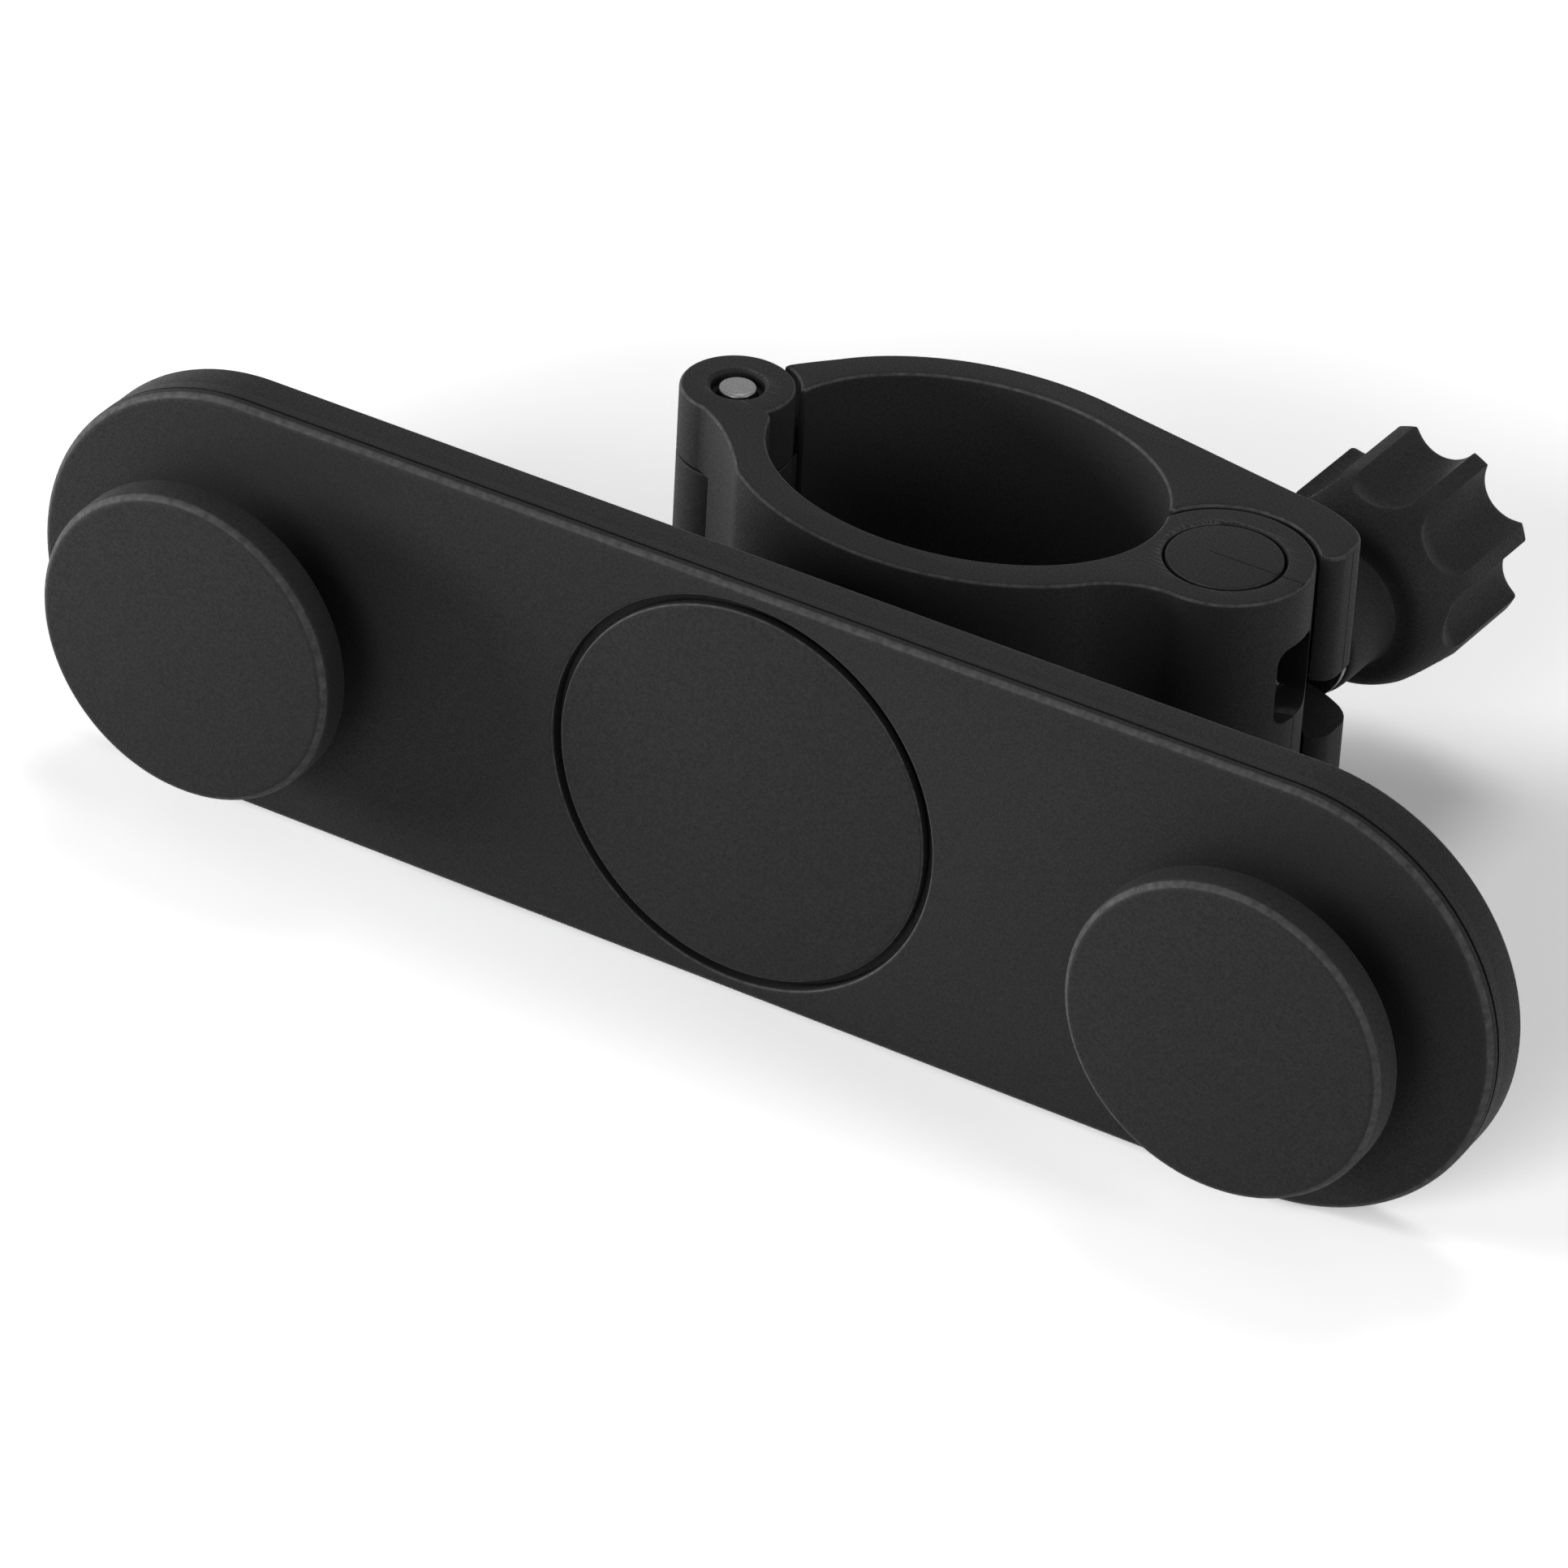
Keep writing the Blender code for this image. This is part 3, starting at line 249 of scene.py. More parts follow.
def new_object(name, mesh):
    obj = bpy.data.objects.new(name, mesh)
    bpy.context.scene.collection.objects.link(obj)
    return obj


def loft(name, loops, closed=False):
    """A closed skin over loops of points. A loop of one point is a pole, and other end loops get a flat cap."""
    shape = bmesh.new()
    rings = [[shape.verts.new(point) for point in loop] for loop in loops]
    pairs = list(zip(rings, rings[1:])) + ([(rings[-1], rings[0])] if closed else [])
    for lower, upper in pairs:
        count = max(len(lower), len(upper))
        for i in range(count):
            j = (i + 1) % count
            corners = [lower[i % len(lower)], lower[j % len(lower)], upper[j % len(upper)], upper[i % len(upper)]]
            shape.faces.new(list(dict.fromkeys(corners)))
    if not closed:
        for ring in (rings[0], rings[-1]):
            if len(ring) > 1:
                shape.faces.new(ring)
    return to_object(name, shape)


def to_object(name, shape):
    bmesh.ops.remove_doubles(shape, verts=shape.verts, dist=1e-7)
    bmesh.ops.recalc_face_normals(shape, faces=shape.faces)
    mesh = bpy.data.meshes.new(name)
    shape.to_mesh(mesh)
    shape.free()
    return new_object(name, mesh)


def lathe(name, profile, place, sides=96, closed=False):
    """A turned shape. The profile lists (radius, distance along the frame's third axis)."""
    loops = []
    for radius, distance in profile:
        if radius <= 0.0:
            loops.append([place @ Vector((0.0, 0.0, distance))])
            continue
        turns = [math.tau * i / sides for i in range(sides)]
        loops.append([place @ Vector((radius * math.cos(a), radius * math.sin(a), distance)) for a in turns])
    return loft(name, loops, closed)


def slab(name, outline, low, high, edge):
    """A flat outline made solid between two heights, with rounded rims."""
    area = sum(a[0] * b[1] - b[0] * a[1] for a, b in zip(outline, outline[1:] + outline[:1]))
    ordered = outline if area > 0 else outline[::-1]
    curve = bpy.data.curves.new(name, "CURVE")
    curve.dimensions = "2D"
    curve.fill_mode = "BOTH"
    curve.extrude = (high - low) / 2 - edge
    curve.bevel_depth = edge
    curve.offset = -edge
    curve.bevel_resolution = 5
    spline = curve.splines.new("POLY")
    spline.points.add(len(ordered) - 1)
    for point, (x, y) in zip(spline.points, ordered):
        point.co = (x, y, 0.0, 1.0)
    spline.use_cyclic_u = True
    guide = new_object(name, curve)
    mesh = evaluated_mesh(guide)
    bpy.data.objects.remove(guide, do_unlink=True)
    shape = bmesh.new()
    shape.from_mesh(mesh)
    shape.transform(Matrix.Translation((0.0, 0.0, (low + high) / 2)))
    return to_object(name, shape)


def evaluated_mesh(obj):
    graph = bpy.context.evaluated_depsgraph_get()
    return bpy.data.meshes.new_from_object(obj.evaluated_get(graph), depsgraph=graph)


def bored(obj, *cutters, operation="DIFFERENCE"):
    """The piece with each other shape cut from it or joined to it, as one plain mesh."""
    for cutter in cutters:
        modifier = obj.modifiers.new(cutter.name, "BOOLEAN")
        modifier.operation = operation
        modifier.solver = "EXACT"
        modifier.object = cutter
    made = new_object(obj.name, evaluated_mesh(obj))
    for used in (obj, *cutters):
        bpy.data.objects.remove(used, do_unlink=True)
    return made


def block(name, low, high):
    """A cutter with square corners."""
    (x0, y0, z0), (x1, y1, z1) = low, high
    plan = ((x0, y0), (x1, y0), (x1, y1), (x0, y1))
    return loft(name, [[(x, y, z0) for x, y in plan], [(x, y, z1) for x, y in plan]])


def drill(name, origin, way, radius, low, high, sides=64, up=UP):
    """A round cutter along a line."""
    return lathe(name, [(radius, low), (radius, high)], facing(Vector(origin), way, up), sides)


def drill_down(name, centre, radius, low, high):
    return drill(name, (centre[0], centre[1], 0.0), UP, radius, low, high, up=BACKWARDS)


def mark_rim_highlights(obj):
    """Stores 1 on the points of narrow convex roundings, where the plastic gets a painted highlight along its rims."""
    shape = bmesh.new()
    shape.from_mesh(obj.data)
    least, most = math.radians(12.0), math.radians(62.0)
    worn = []
    for point in shape.verts:
        folds = [edge.calc_face_angle_signed(0.0) for edge in point.link_edges if len(edge.link_faces) == 2]
        sharpest = max(folds, default=0.0)
        worn.append(least < sharpest < most)
    inner = [float(worn[point.index] and all(worn[edge.other_vert(point).index] for edge in point.link_edges))
             for point in shape.verts]
    shape.free()
    layer = obj.data.attributes.new("worn", "FLOAT", "POINT")
    layer.data.foreach_set("value", inner)


def finish(obj, name, surface, body, nodes):
    """Gives a piece its name, finish and body, and hides the frame nodes that it stands for."""
    obj.name = name
    obj.data.name = name
    obj.data.materials.clear()
    obj.data.materials.append(surface)
    for polygon in obj.data.polygons:
        polygon.material_index = 0
    obj.data.shade_smooth()
    obj.data.set_sharp_from_angle(angle=math.radians(32.0))
    # Marks the narrow rounded rims that get the painted highlight.
    mark_rim_highlights(obj)
    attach(obj, body)
    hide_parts(*nodes)
    return obj


# ---------------------------------------------------------------- finishes

def new_material(name):
    """An empty node material with its surface shader and the object's own coordinates."""
    made = bpy.data.materials.new(name)
    made.use_nodes = True
    nodes = made.node_tree.nodes
    shader = nodes["Principled BSDF"]
    place = nodes.new("ShaderNodeTexCoord")
    return made, nodes, made.node_tree.links, shader, place.outputs["Object"]


def add_noise(nodes, links, place, size, detail=2.0):
    noise = nodes.new("ShaderNodeTexNoise")
    noise.inputs["Scale"].default_value = 1.0 / size
    noise.inputs["Detail"].default_value = detail
    links.new(place, noise.inputs["Vector"])
    return noise.outputs["Fac"]


def add_range(nodes, links, value, low, high, start=0.3, end=0.7):
    mapped = nodes.new("ShaderNodeMapRange")
    mapped.inputs["From Min"].default_value = start
    mapped.inputs["From Max"].default_value = end
    mapped.inputs["To Min"].default_value = low
    mapped.inputs["To Max"].default_value = high
    links.new(value, mapped.inputs["Value"])
    return mapped.outputs["Result"]


def add_mix(nodes, links, factor, first, second):
    """Two colours mixed. Each is a colour or another node's output."""
    mix = nodes.new("ShaderNodeMix")
    mix.data_type = "RGBA"
    links.new(factor, mix.inputs["Factor"])
    for socket, value in ((mix.inputs[6], first), (mix.inputs[7], second)):
        if isinstance(value, bpy.types.NodeSocket):
            links.new(value, socket)
        else:
            socket.default_value = (*value, 1.0)
    return mix.outputs[2]


def add_bump(nodes, links, shader, height, depth, strength):
    bump = nodes.new("ShaderNodeBump")
    bump.inputs["Strength"].default_value = strength
    bump.inputs["Distance"].default_value = depth
    links.new(height, bump.inputs["Height"])
    links.new(bump.outputs["Normal"], shader.inputs["Normal"])


def moulded_plastic(name, dark, light, edge, grain, relief):
    """Matt moulded plastic: a fine grain with specks, slow tone changes, and a painted highlight along narrow rounded
    rims, thinned and broken up by noise.
    """
    made, nodes, links, shader, place = new_material(name)
    specks = add_noise(nodes, links, place, grain)
    patches = add_noise(nodes, links, place, 14.0 * MM, 3.0)
    body = add_mix(nodes, links, add_range(nodes, links, specks, 0.0, 1.0), dark, light)
    toned = add_mix(nodes, links, add_range(nodes, links, patches, 0.0, 0.22), body, dark)
    # Painted highlight: a lighter colour mixed into the base colour on the rims marked in the mesh attribute.
    worn = nodes.new("ShaderNodeAttribute")
    worn.attribute_name = "worn"
    highlight_breaks = add_noise(nodes, links, place, 0.7 * MM, 4.0)
    share = nodes.new("ShaderNodeMath")
    share.operation = "MULTIPLY"
    thin_highlight = nodes.new("ShaderNodeMath")
    thin_highlight.operation = "POWER"
    thin_highlight.inputs[1].default_value = 2.5
    links.new(worn.outputs["Fac"], thin_highlight.inputs[0])
    links.new(thin_highlight.outputs["Value"], share.inputs[0])
    links.new(add_range(nodes, links, highlight_breaks, 0.25, 0.85), share.inputs[1])
    links.new(add_mix(nodes, links, share.outputs["Value"], toned, edge), shader.inputs["Base Color"])
    links.new(add_range(nodes, links, specks, 0.74, 0.56), shader.inputs["Roughness"])
    add_bump(nodes, links, shader, specks, 0.035 * MM, relief)
    shader.inputs["Specular IOR Level"].default_value = 0.14
    return made


def turned_metal(name, tone, roughness, stretch):
    """Turned and plated metal: fine lines round the axis and slightly uneven gloss."""
    made, nodes, links, shader, place = new_material(name)
    lines = nodes.new("ShaderNodeMapping")
    lines.inputs["Scale"].default_value = stretch
    links.new(place, lines.inputs["Vector"])
    fine = add_noise(nodes, links, lines.outputs["Vector"], 0.18 * MM, 3.0)
    shade = tuple(value * 0.72 for value in tone)
    links.new(add_mix(nodes, links, add_range(nodes, links, fine, 0.0, 1.0), shade, tone), shader.inputs["Base Color"])
    links.new(add_range(nodes, links, fine, roughness, roughness + 0.14), shader.inputs["Roughness"])
    add_bump(nodes, links, shader, fine, 0.01 * MM, 0.25)
    shader.inputs["Metallic"].default_value = 1.0
    return made


def make_finishes(tones):
    """Every finish of the mount, by the name of its slot in the record."""
    plastic = (tones.plastic_dark, tones.plastic_light, tones.rim_highlight_colour)
    nylon = tuple(tones.nylon)
    return {
        "black_plastic": moulded_plastic("black_plastic_moulded", *map(tuple, plastic), tones.grain, 0.30),
        "grained_plastic": moulded_plastic("black_plastic_grained", *map(tuple, plastic), tones.coarse_grain, 0.42),
        "steel": turned_metal("plated_steel", tuple(tones.steel), 0.24, (1.0, 1.0, 0.15)),
        "brass": turned_metal("turned_brass", tuple(tones.brass), 0.3, (1.0, 0.15, 1.0)),
        "grey_nylon": moulded_plastic(
            "grey_nylon_smooth", tuple(value * 0.85 for value in nylon), nylon, nylon, tones.grain, 0.1
        ),
    }


def surface(slot):
    names = {
        "black_plastic": "black_plastic_moulded",
        "grained_plastic": "black_plastic_grained",
        "steel": "plated_steel",
        "brass": "turned_brass",
        "grey_nylon": "grey_nylon_smooth",
    }
    return bpy.data.materials[names[slot]]


# ---------------------------------------------------------------- repeated features, as node trees

def new_tree(name, inputs):
    """A geometry node tree with one named input for each (name, socket type), and its group nodes."""
    tree = bpy.data.node_groups.new(name, "GeometryNodeTree")
    tree.interface.new_socket("Geometry", in_out="INPUT", socket_type="NodeSocketGeometry")
    for label, kind in inputs:
        tree.interface.new_socket(label, in_out="INPUT", socket_type=kind)
    tree.interface.new_socket("Geometry", in_out="OUTPUT", socket_type="NodeSocketGeometry")
    return tree, tree.nodes.new("NodeGroupInput"), tree.nodes.new("NodeGroupOutput")


def end_tree(tree, geometry, out, material):
    """Ends a tree in real geometry with its finish."""
    real = tree.nodes.new("GeometryNodeRealizeInstances")
    painted = tree.nodes.new("GeometryNodeSetMaterial")
    painted.inputs["Material"].default_value = material
    tree.links.new(geometry, real.inputs["Geometry"])
    tree.links.new(real.outputs["Geometry"], painted.inputs["Geometry"])
    tree.links.new(painted.outputs["Geometry"], out.inputs[0])


def grown(name, tree, values):
    """The plain mesh that a tree makes with these input values."""
    host = new_object(name, bpy.data.meshes.new(name))
    modifier = host.modifiers.new(tree.name, "NODES")
    modifier.node_group = tree
    for item in tree.interface.items_tree:
        if item.in_out == "INPUT" and item.name in values:
            modifier[item.identifier] = values[item.name]
    made = new_object(name, evaluated_mesh(host))
    bpy.data.objects.remove(host, do_unlink=True)
    return made


def screw_pattern_tree():
    """Copies of one screw at the corners of a rectangle."""
    inputs = (("Screw", "NodeSocketObject"), ("Width", "NodeSocketFloat"), ("Height", "NodeSocketFloat"))
    tree, start, out = new_tree("screw_pattern", (*inputs, ("Place", "NodeSocketVector")))
    corners = tree.nodes.new("GeometryNodeMeshGrid")
    corners.inputs["Vertices X"].default_value = 2
    corners.inputs["Vertices Y"].default_value = 2
    tree.links.new(start.outputs["Width"], corners.inputs["Size X"])
    tree.links.new(start.outputs["Height"], corners.inputs["Size Y"])
    upright = tree.nodes.new("GeometryNodeTransform")
    upright.inputs["Rotation"].default_value = (math.radians(90.0), 0.0, 0.0)
    tree.links.new(corners.outputs["Mesh"], upright.inputs["Geometry"])
    tree.links.new(start.outputs["Place"], upright.inputs["Translation"])
    source = tree.nodes.new("GeometryNodeObjectInfo")
    tree.links.new(start.outputs["Screw"], source.inputs["Object"])
    copies = tree.nodes.new("GeometryNodeInstanceOnPoints")
    tree.links.new(upright.outputs["Geometry"], copies.inputs["Points"])
    tree.links.new(source.outputs["Geometry"], copies.inputs["Instance"])
    end_tree(tree, copies.outputs["Instances"], out, surface("steel"))
    return tree


def thread_tree():
    """A screw thread: a thin ridge that winds along a rod."""
    inputs = (("Radius", "NodeSocketFloat"), ("Ridge", "NodeSocketFloat"), ("Length", "NodeSocketFloat"))
    tree, start, out = new_tree("screw_thread", (*inputs, ("Turns", "NodeSocketFloat")))
    helix = tree.nodes.new("GeometryNodeCurveSpiral")
    helix.inputs["Resolution"].default_value = 24
    tree.links.new(start.outputs["Turns"], helix.inputs["Rotations"])
    tree.links.new(start.outputs["Radius"], helix.inputs["Start Radius"])
    tree.links.new(start.outputs["Radius"], helix.inputs["End Radius"])
    tree.links.new(start.outputs["Length"], helix.inputs["Height"])
    ridge = tree.nodes.new("GeometryNodeCurvePrimitiveCircle")
    ridge.inputs["Resolution"].default_value = 6
    tree.links.new(start.outputs["Ridge"], ridge.inputs["Radius"])
    skin = tree.nodes.new("GeometryNodeCurveToMesh")
    skin.inputs["Fill Caps"].default_value = True
    tree.links.new(helix.outputs["Curve"], skin.inputs["Curve"])
    tree.links.new(ridge.outputs["Curve"], skin.inputs["Profile Curve"])
    end_tree(tree, skin.outputs["Mesh"], out, surface("steel"))
    return tree


# ---------------------------------------------------------------- fittings

def cross_recess(name, place, size, depth):
    """The cutter for a cross drive, at the head of a screw that faces back along its frame."""
    arms = []
    for wide, tall in ((size, size * 0.28), (size * 0.28, size)):
        near = [(-wide, -tall), (wide, -tall), (wide, tall), (-wide, tall)]
        loops = [[place @ Vector((x, y, -0.2 * MM)) for x, y in near]]
        loops.append([place @ Vector((x * 0.72, y * 0.72, depth)) for x, y in near])
        arms.append(loft(name, loops))
    return arms


def machine_screw(name, node, side):
    """A pan-head screw along Y that fills its frame node's box, with a cross drive. side is 1 if its head faces +Y."""
    low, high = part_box(node)
    middle_x, middle_z = (low[0] + high[0]) / 2, (low[2] + high[2]) / 2
    head_y, way = (high[1], -1.0) if side > 0 else (low[1], 1.0)
    head = (high[0] - low[0]) / 2
    total = high[1] - low[1]
    return turned_screw(name, Vector((middle_x, head_y, middle_z)), Vector((0.0, way, 0.0)), head, total)


def turned_screw(name, origin, way, head, total):
    shank = head * 0.52
    rise = head * 0.44
    outline = [(0.0, 0.0), (head * 0.72, 0.0), (head, rise * 0.45), (head, rise), (shank, rise)]
    profile = soften(outline, head * 0.16)
    thread = 0.35 * MM
    place_along = rise + thread
    while place_along < total - 2 * thread:
        profile += [(shank, place_along), (shank * 0.84, place_along + thread / 2)]
        place_along += thread
    profile += [(shank * 0.84, total - thread), (shank * 0.6, total), (0.0, total)]
    place = facing(origin, way)
    return bored(lathe(name, profile, place, 48), *cross_recess("drive", place, head * 0.5, head * 0.34))


def sleeve(name, node, way, inner, edge, grooves=0):
    """A ring or bush that fills its frame node's box, open through its middle."""
    low, high = Vector(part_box(node)[0]), Vector(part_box(node)[1])
    middle = (low + high) / 2
    half = (high[1] - low[1]) / 2
    outer = (high[2] - low[2]) / 2
    return sleeve_at(name, middle, way, outer, inner, half, edge, grooves)


def sleeve_at(name, middle, way, outer, inner, half, edge, grooves=0):
    outline = [(inner, 0.0), (inner, -half), (outer, -half)]
    for index in range(grooves):
        centre = -half + 2 * half * (index + 1) / (grooves + 1)
        width = half * 0.16
        outline += [(outer, centre - width), (outer * 0.93, centre - width * 0.6)]
        outline += [(outer * 0.93, centre + width * 0.6), (outer, centre + width)]
    outline += [(outer, half), (inner, half), (inner, 0.0)]
    profile = soften(outline, edge, 3)
    return lathe(name, profile[:-1], facing(middle, way), 64, closed=True)


# ---------------------------------------------------------------- plate

def stadium_loop(sizes, inset, y):
    """The plate's round-ended outline, moved in by inset, at one place along Y."""
    radius = sizes.half_height - inset
    straight = sizes.half_length - sizes.half_height
    right = arc((straight, 0.0), radius, -90.0, 90.0, 2.5)
    left = arc((-straight, 0.0), radius, 90.0, 270.0, 2.5)
    return [(PLATE_X + x, y, z) for x, z in right + left]


def rounded_plate(name, sizes, front, back, inset, front_edge, back_edge, groove=0.0):
    """A round-ended plate between two places along Y, with its rim roundings and a groove behind the front one."""
    loops = []
    for step in range(7):
        turn = math.pi / 2 * step / 6
        inner, depth = front_edge * (1 - math.sin(turn)), front_edge * (1 - math.cos(turn))
        loops.append(stadium_loop(sizes, inset + inner, front + depth))
    if groove:
        start = front + front_edge
        for inner, depth in ((0.0, 0.05), (groove, 0.15), (groove, 1.0), (0.0, 1.1)):
            loops.append(stadium_loop(sizes, inset + inner, start + depth * groove))
    for step in range(6, -1, -1):
        turn = math.pi / 2 * step / 6
        inner, depth = back_edge * (1 - math.sin(turn)), back_edge * (1 - math.cos(turn))
        loops.append(stadium_loop(sizes, inset + inner, back - depth))
    return loft(name, loops)


def front_cover(sizes):
    (_, front, _), (_, back, _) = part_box("front_cover")
    cover = rounded_plate("cover", sizes, front, back, 0.0, sizes.cover_edge, 0.02 * MM, sizes.bead_groove)
    floor_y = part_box("badge_disc")[1][1] + 0.3 * MM
    radius, edge = sizes.badge_radius + sizes.badge_groove, sizes.badge_edge
    lip = [(radius + edge * (1 - math.sin(t)), front + edge * (1 - math.cos(t))) for t in quarter_turn(5)]
    outline = [(0.0, front - MM), (radius + edge, front - MM), *lip, (radius, floor_y), (0.0, floor_y)]
    middle = Vector((PLATE_X, 0.0, 0.0))
    cutters = [
        lathe("badge_recess", outline, facing(middle, BACKWARDS), 128),
        drill("screw_access", middle, BACKWARDS, sizes.screw_access, front, back + MM),
    ]
    for side in (-1, 1):
        place = middle + Vector((side * sizes.stud_from_middle, 0.0, 0.0))
        cutters.append(drill("stud_screw_hole", place, BACKWARDS, 1.65 * MM, front - MM, back + MM, 32))
    return bored(cover, *cutters)


def quarter_turn(count):
    return [math.pi / 2 * step / count for step in range(count + 1)]


def back_housing(sizes):
    (_, front, _), (_, hub_end, _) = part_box("back_housing")
    back = hub_end - 4.2 * MM
    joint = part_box("front_cover")[1][1] + 0.03 * MM
    tray = rounded_plate("tray", sizes, joint, back, sizes.housing_inset, 0.02 * MM, sizes.housing_edge)
    wall = sizes.housing_inset + sizes.housing_wall
    hollow = loft(
        "hollow",
        [stadium_loop(sizes, wall, front - MM), stadium_loop(sizes, wall, back - sizes.housing_floor)],
    )
    tray = bored(tray, hollow)
    middle = Vector((PLATE_X, 0.0, 0.0))
    hub = soften([(0.0, front), (sizes.hub_radius, front), (sizes.hub_radius, hub_end), (0.0, hub_end)], 0.45 * MM)
    posts = [lathe("hub", hub, facing(middle, BACKWARDS), 96)]
    holes = [
        drill("swivel_hole", middle, BACKWARDS, 2.15 * MM, front - MM, hub_end + MM, 48),
        drill("swivel_seat", middle, BACKWARDS, 4.9 * MM, front - MM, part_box("swivel_washer")[1][1] + 0.3 * MM, 48),
    ]
    for side in (-1, 1):
        place = middle + Vector((side * sizes.stud_from_middle, 0.0, 0.0))
        posts.append(drill("stud_post", place, BACKWARDS, 5.0 * MM, front, back - sizes.housing_edge, 48))
        holes.append(drill("stud_hole", place, BACKWARDS, 1.65 * MM, front - MM, back + MM, 32))
        holes.append(drill("stud_head_hole", place, BACKWARDS, 2.95 * MM, back - 2.0 * MM, back + MM, 48))
    for x, z in ((-1, -1), (1, -1), (1, 1), (-1, 1)):
        place = middle + Vector((x * sizes.screw_half_x, 0.0, z * sizes.screw_half_z))
        posts.append(drill("case_post", place, BACKWARDS, 3.2 * MM, front, back - sizes.housing_edge, 48))
        holes.append(drill("case_hole", place, BACKWARDS, 1.2 * MM, front - MM, back + MM, 32))
        holes.append(drill("case_head_hole", place, BACKWARDS, 2.25 * MM, back - 1.5 * MM, back + MM, 48))
    return bored(bored(tray, *posts, operation="UNION"), *holes)


def badge_disc(sizes):
    (_, front, _), (_, back, _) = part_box("badge_disc")
    radius = sizes.badge_radius
    outline = [(0.0, front), (radius, front), (radius, back), (0.0, back)]
    return lathe("badge", soften(outline, sizes.badge_edge, 5), facing(Vector((PLATE_X, 0.0, 0.0)), BACKWARDS), 128)


def stud(sizes, side):
    """A mushroom head with a rounded rim on a stem, bored for its threaded insert."""
    (_, face, _), (_, base, _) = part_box("left_stud")
    head_back = face + sizes.stud_head
    hole_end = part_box("left_stud_insert")[0][1] - 0.3 * MM
    radius, edge = sizes.stud_radius, sizes.stud_edge
    front_rim = [(radius - edge * (1 - math.sin(t)), face + edge * (1 - math.cos(t))) for t in quarter_turn(6)]
    small = edge * 0.45
    back_rim = [(radius - small * (1 - math.cos(t)), head_back - small * (1 - math.sin(t))) for t in quarter_turn(4)]
    root = bend((sizes.stud_stem + 0.5 * MM, head_back), (sizes.stud_stem, head_back), (sizes.stud_stem, head_back + 0.5 * MM), 4)
    outline = [(0.0, face), *front_rim, *back_rim, *root, (sizes.stud_stem, base)]
    outline += [(2.55 * MM, base), (2.55 * MM, hole_end), (0.0, hole_end)]
    middle = Vector((PLATE_X + side * sizes.stud_from_middle, 0.0, 0.0))
    return lathe("stud", outline, facing(middle, BACKWARDS), 128)


# ---------------------------------------------------------------- clamp

def front_half_outline(sizes):
    """Round the knuckle, along the ring's outside, round the boss and back along the bore."""
    width, depth = sizes.bore_half_width, sizes.bore_half_depth
    outer = oval(width + sizes.front_wall, depth + sizes.front_wall, 223.5, 325.5)
    knuckle = arc(HINGE, sizes.knuckle_radius, -28.0, 264.0)
    boss = arc(BARREL, sizes.boss_radius, 262.0, 518.0, 3.0)
    bore = oval(width, depth, 11.0, -165.0)
    hinge_corner = (outer[0][0] * 0.36 + knuckle[-1][0] * 0.64 + 0.9 * MM, outer[0][1] * 0.36 + knuckle[-1][1] * 0.64 + 0.9 * MM)
    boss_corner = (boss[0][0] * 0.45 + outer[-1][0] * 0.55, boss[0][1] - 0.15 * MM)
    root = oval(width, depth, -170.0, -171.0)[0]
    outline = knuckle + bend(knuckle[-1], hinge_corner, outer[0])[1:] + outer[1:]
    outline += bend(outer[-1], boss_corner, boss[0])[1:] + boss[1:] + bore
    return outline + bend(bore[-1], root, knuckle[0])[1:-1]


def clamp_front_half(sizes):
    low, high = -CLAMP_TOP, CLAMP_TOP
    half = slab("front_half", front_half_outline(sizes), low, high, sizes.rim)
    foot_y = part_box("clamp_front_half")[0][1]
    wall_y = -sizes.bore_half_depth - sizes.front_wall * 0.4
    foot_outline = [(0.0, foot_y), (sizes.foot_radius, foot_y), (sizes.foot_radius, wall_y), (0.0, wall_y)]
    middle = Vector((PLATE_X, 0.0, 0.0))
    half = bored(half, lathe("foot", soften(foot_outline, 0.35 * MM), facing(middle, BACKWARDS), 96), operation="UNION")
    inside = high - sizes.knuckle_height
    rim = 0.3 * MM
    recess = [(0.0, high + MM), (sizes.pin_recess + rim, high + MM), (sizes.pin_recess + rim, high)]
    recess += [(sizes.pin_recess, high - rim), (sizes.pin_recess, high - sizes.pin_recess_depth)]
    recess += [(0.0, high - sizes.pin_recess_depth)]
    lower_recess = [(radius, -place) for radius, place in recess]
    hinge_frame = facing(HINGE, UP, BACKWARDS)
    hole_rim = [(0.0, high + MM), (sizes.barrel_hole + 0.2 * MM, high + MM), (sizes.barrel_hole + 0.2 * MM, high)]
    hole_rim += [(sizes.barrel_hole, high - 0.2 * MM)]
    barrel_hole = hole_rim + [(radius, -place) for radius, place in reversed(hole_rim)]
    window = 9.5 * MM, 2.1 * MM
    return bored(
        half,
        drill_down("knuckle_window", HINGE, sizes.knuckle_radius + sizes.window_gap, -inside, inside),
        drill_down("pin_hole", HINGE, sizes.pin_radius + 0.15 * MM, low - MM, high + MM),
        lathe("recess_top", recess, hinge_frame, 64),
        lathe("recess_bottom", lower_recess, hinge_frame, 64),
        lathe("barrel_hole", barrel_hole, facing(BARREL, UP, BACKWARDS), 96),
        swing_slot(sizes),
        window_cutter(BARREL.x, BARREL.x + 2 * sizes.boss_radius, window[1], window[0]),
        drill("insert_hole", middle, BACKWARDS, 3.15 * MM, foot_y - MM, foot_y + 5.6 * MM, 48),
        block("seam_top", (BARREL.x, BARREL.y - sizes.seam / 2, high - sizes.seam), (1.0, BARREL.y + sizes.seam / 2, 1.0)),
        block(
            "seam_side",
            (BARREL.x + sizes.boss_radius - sizes.seam, BARREL.y - sizes.seam / 2, -1.0),
            (1.0, BARREL.y + sizes.seam / 2, window[1]),
        ),
    )


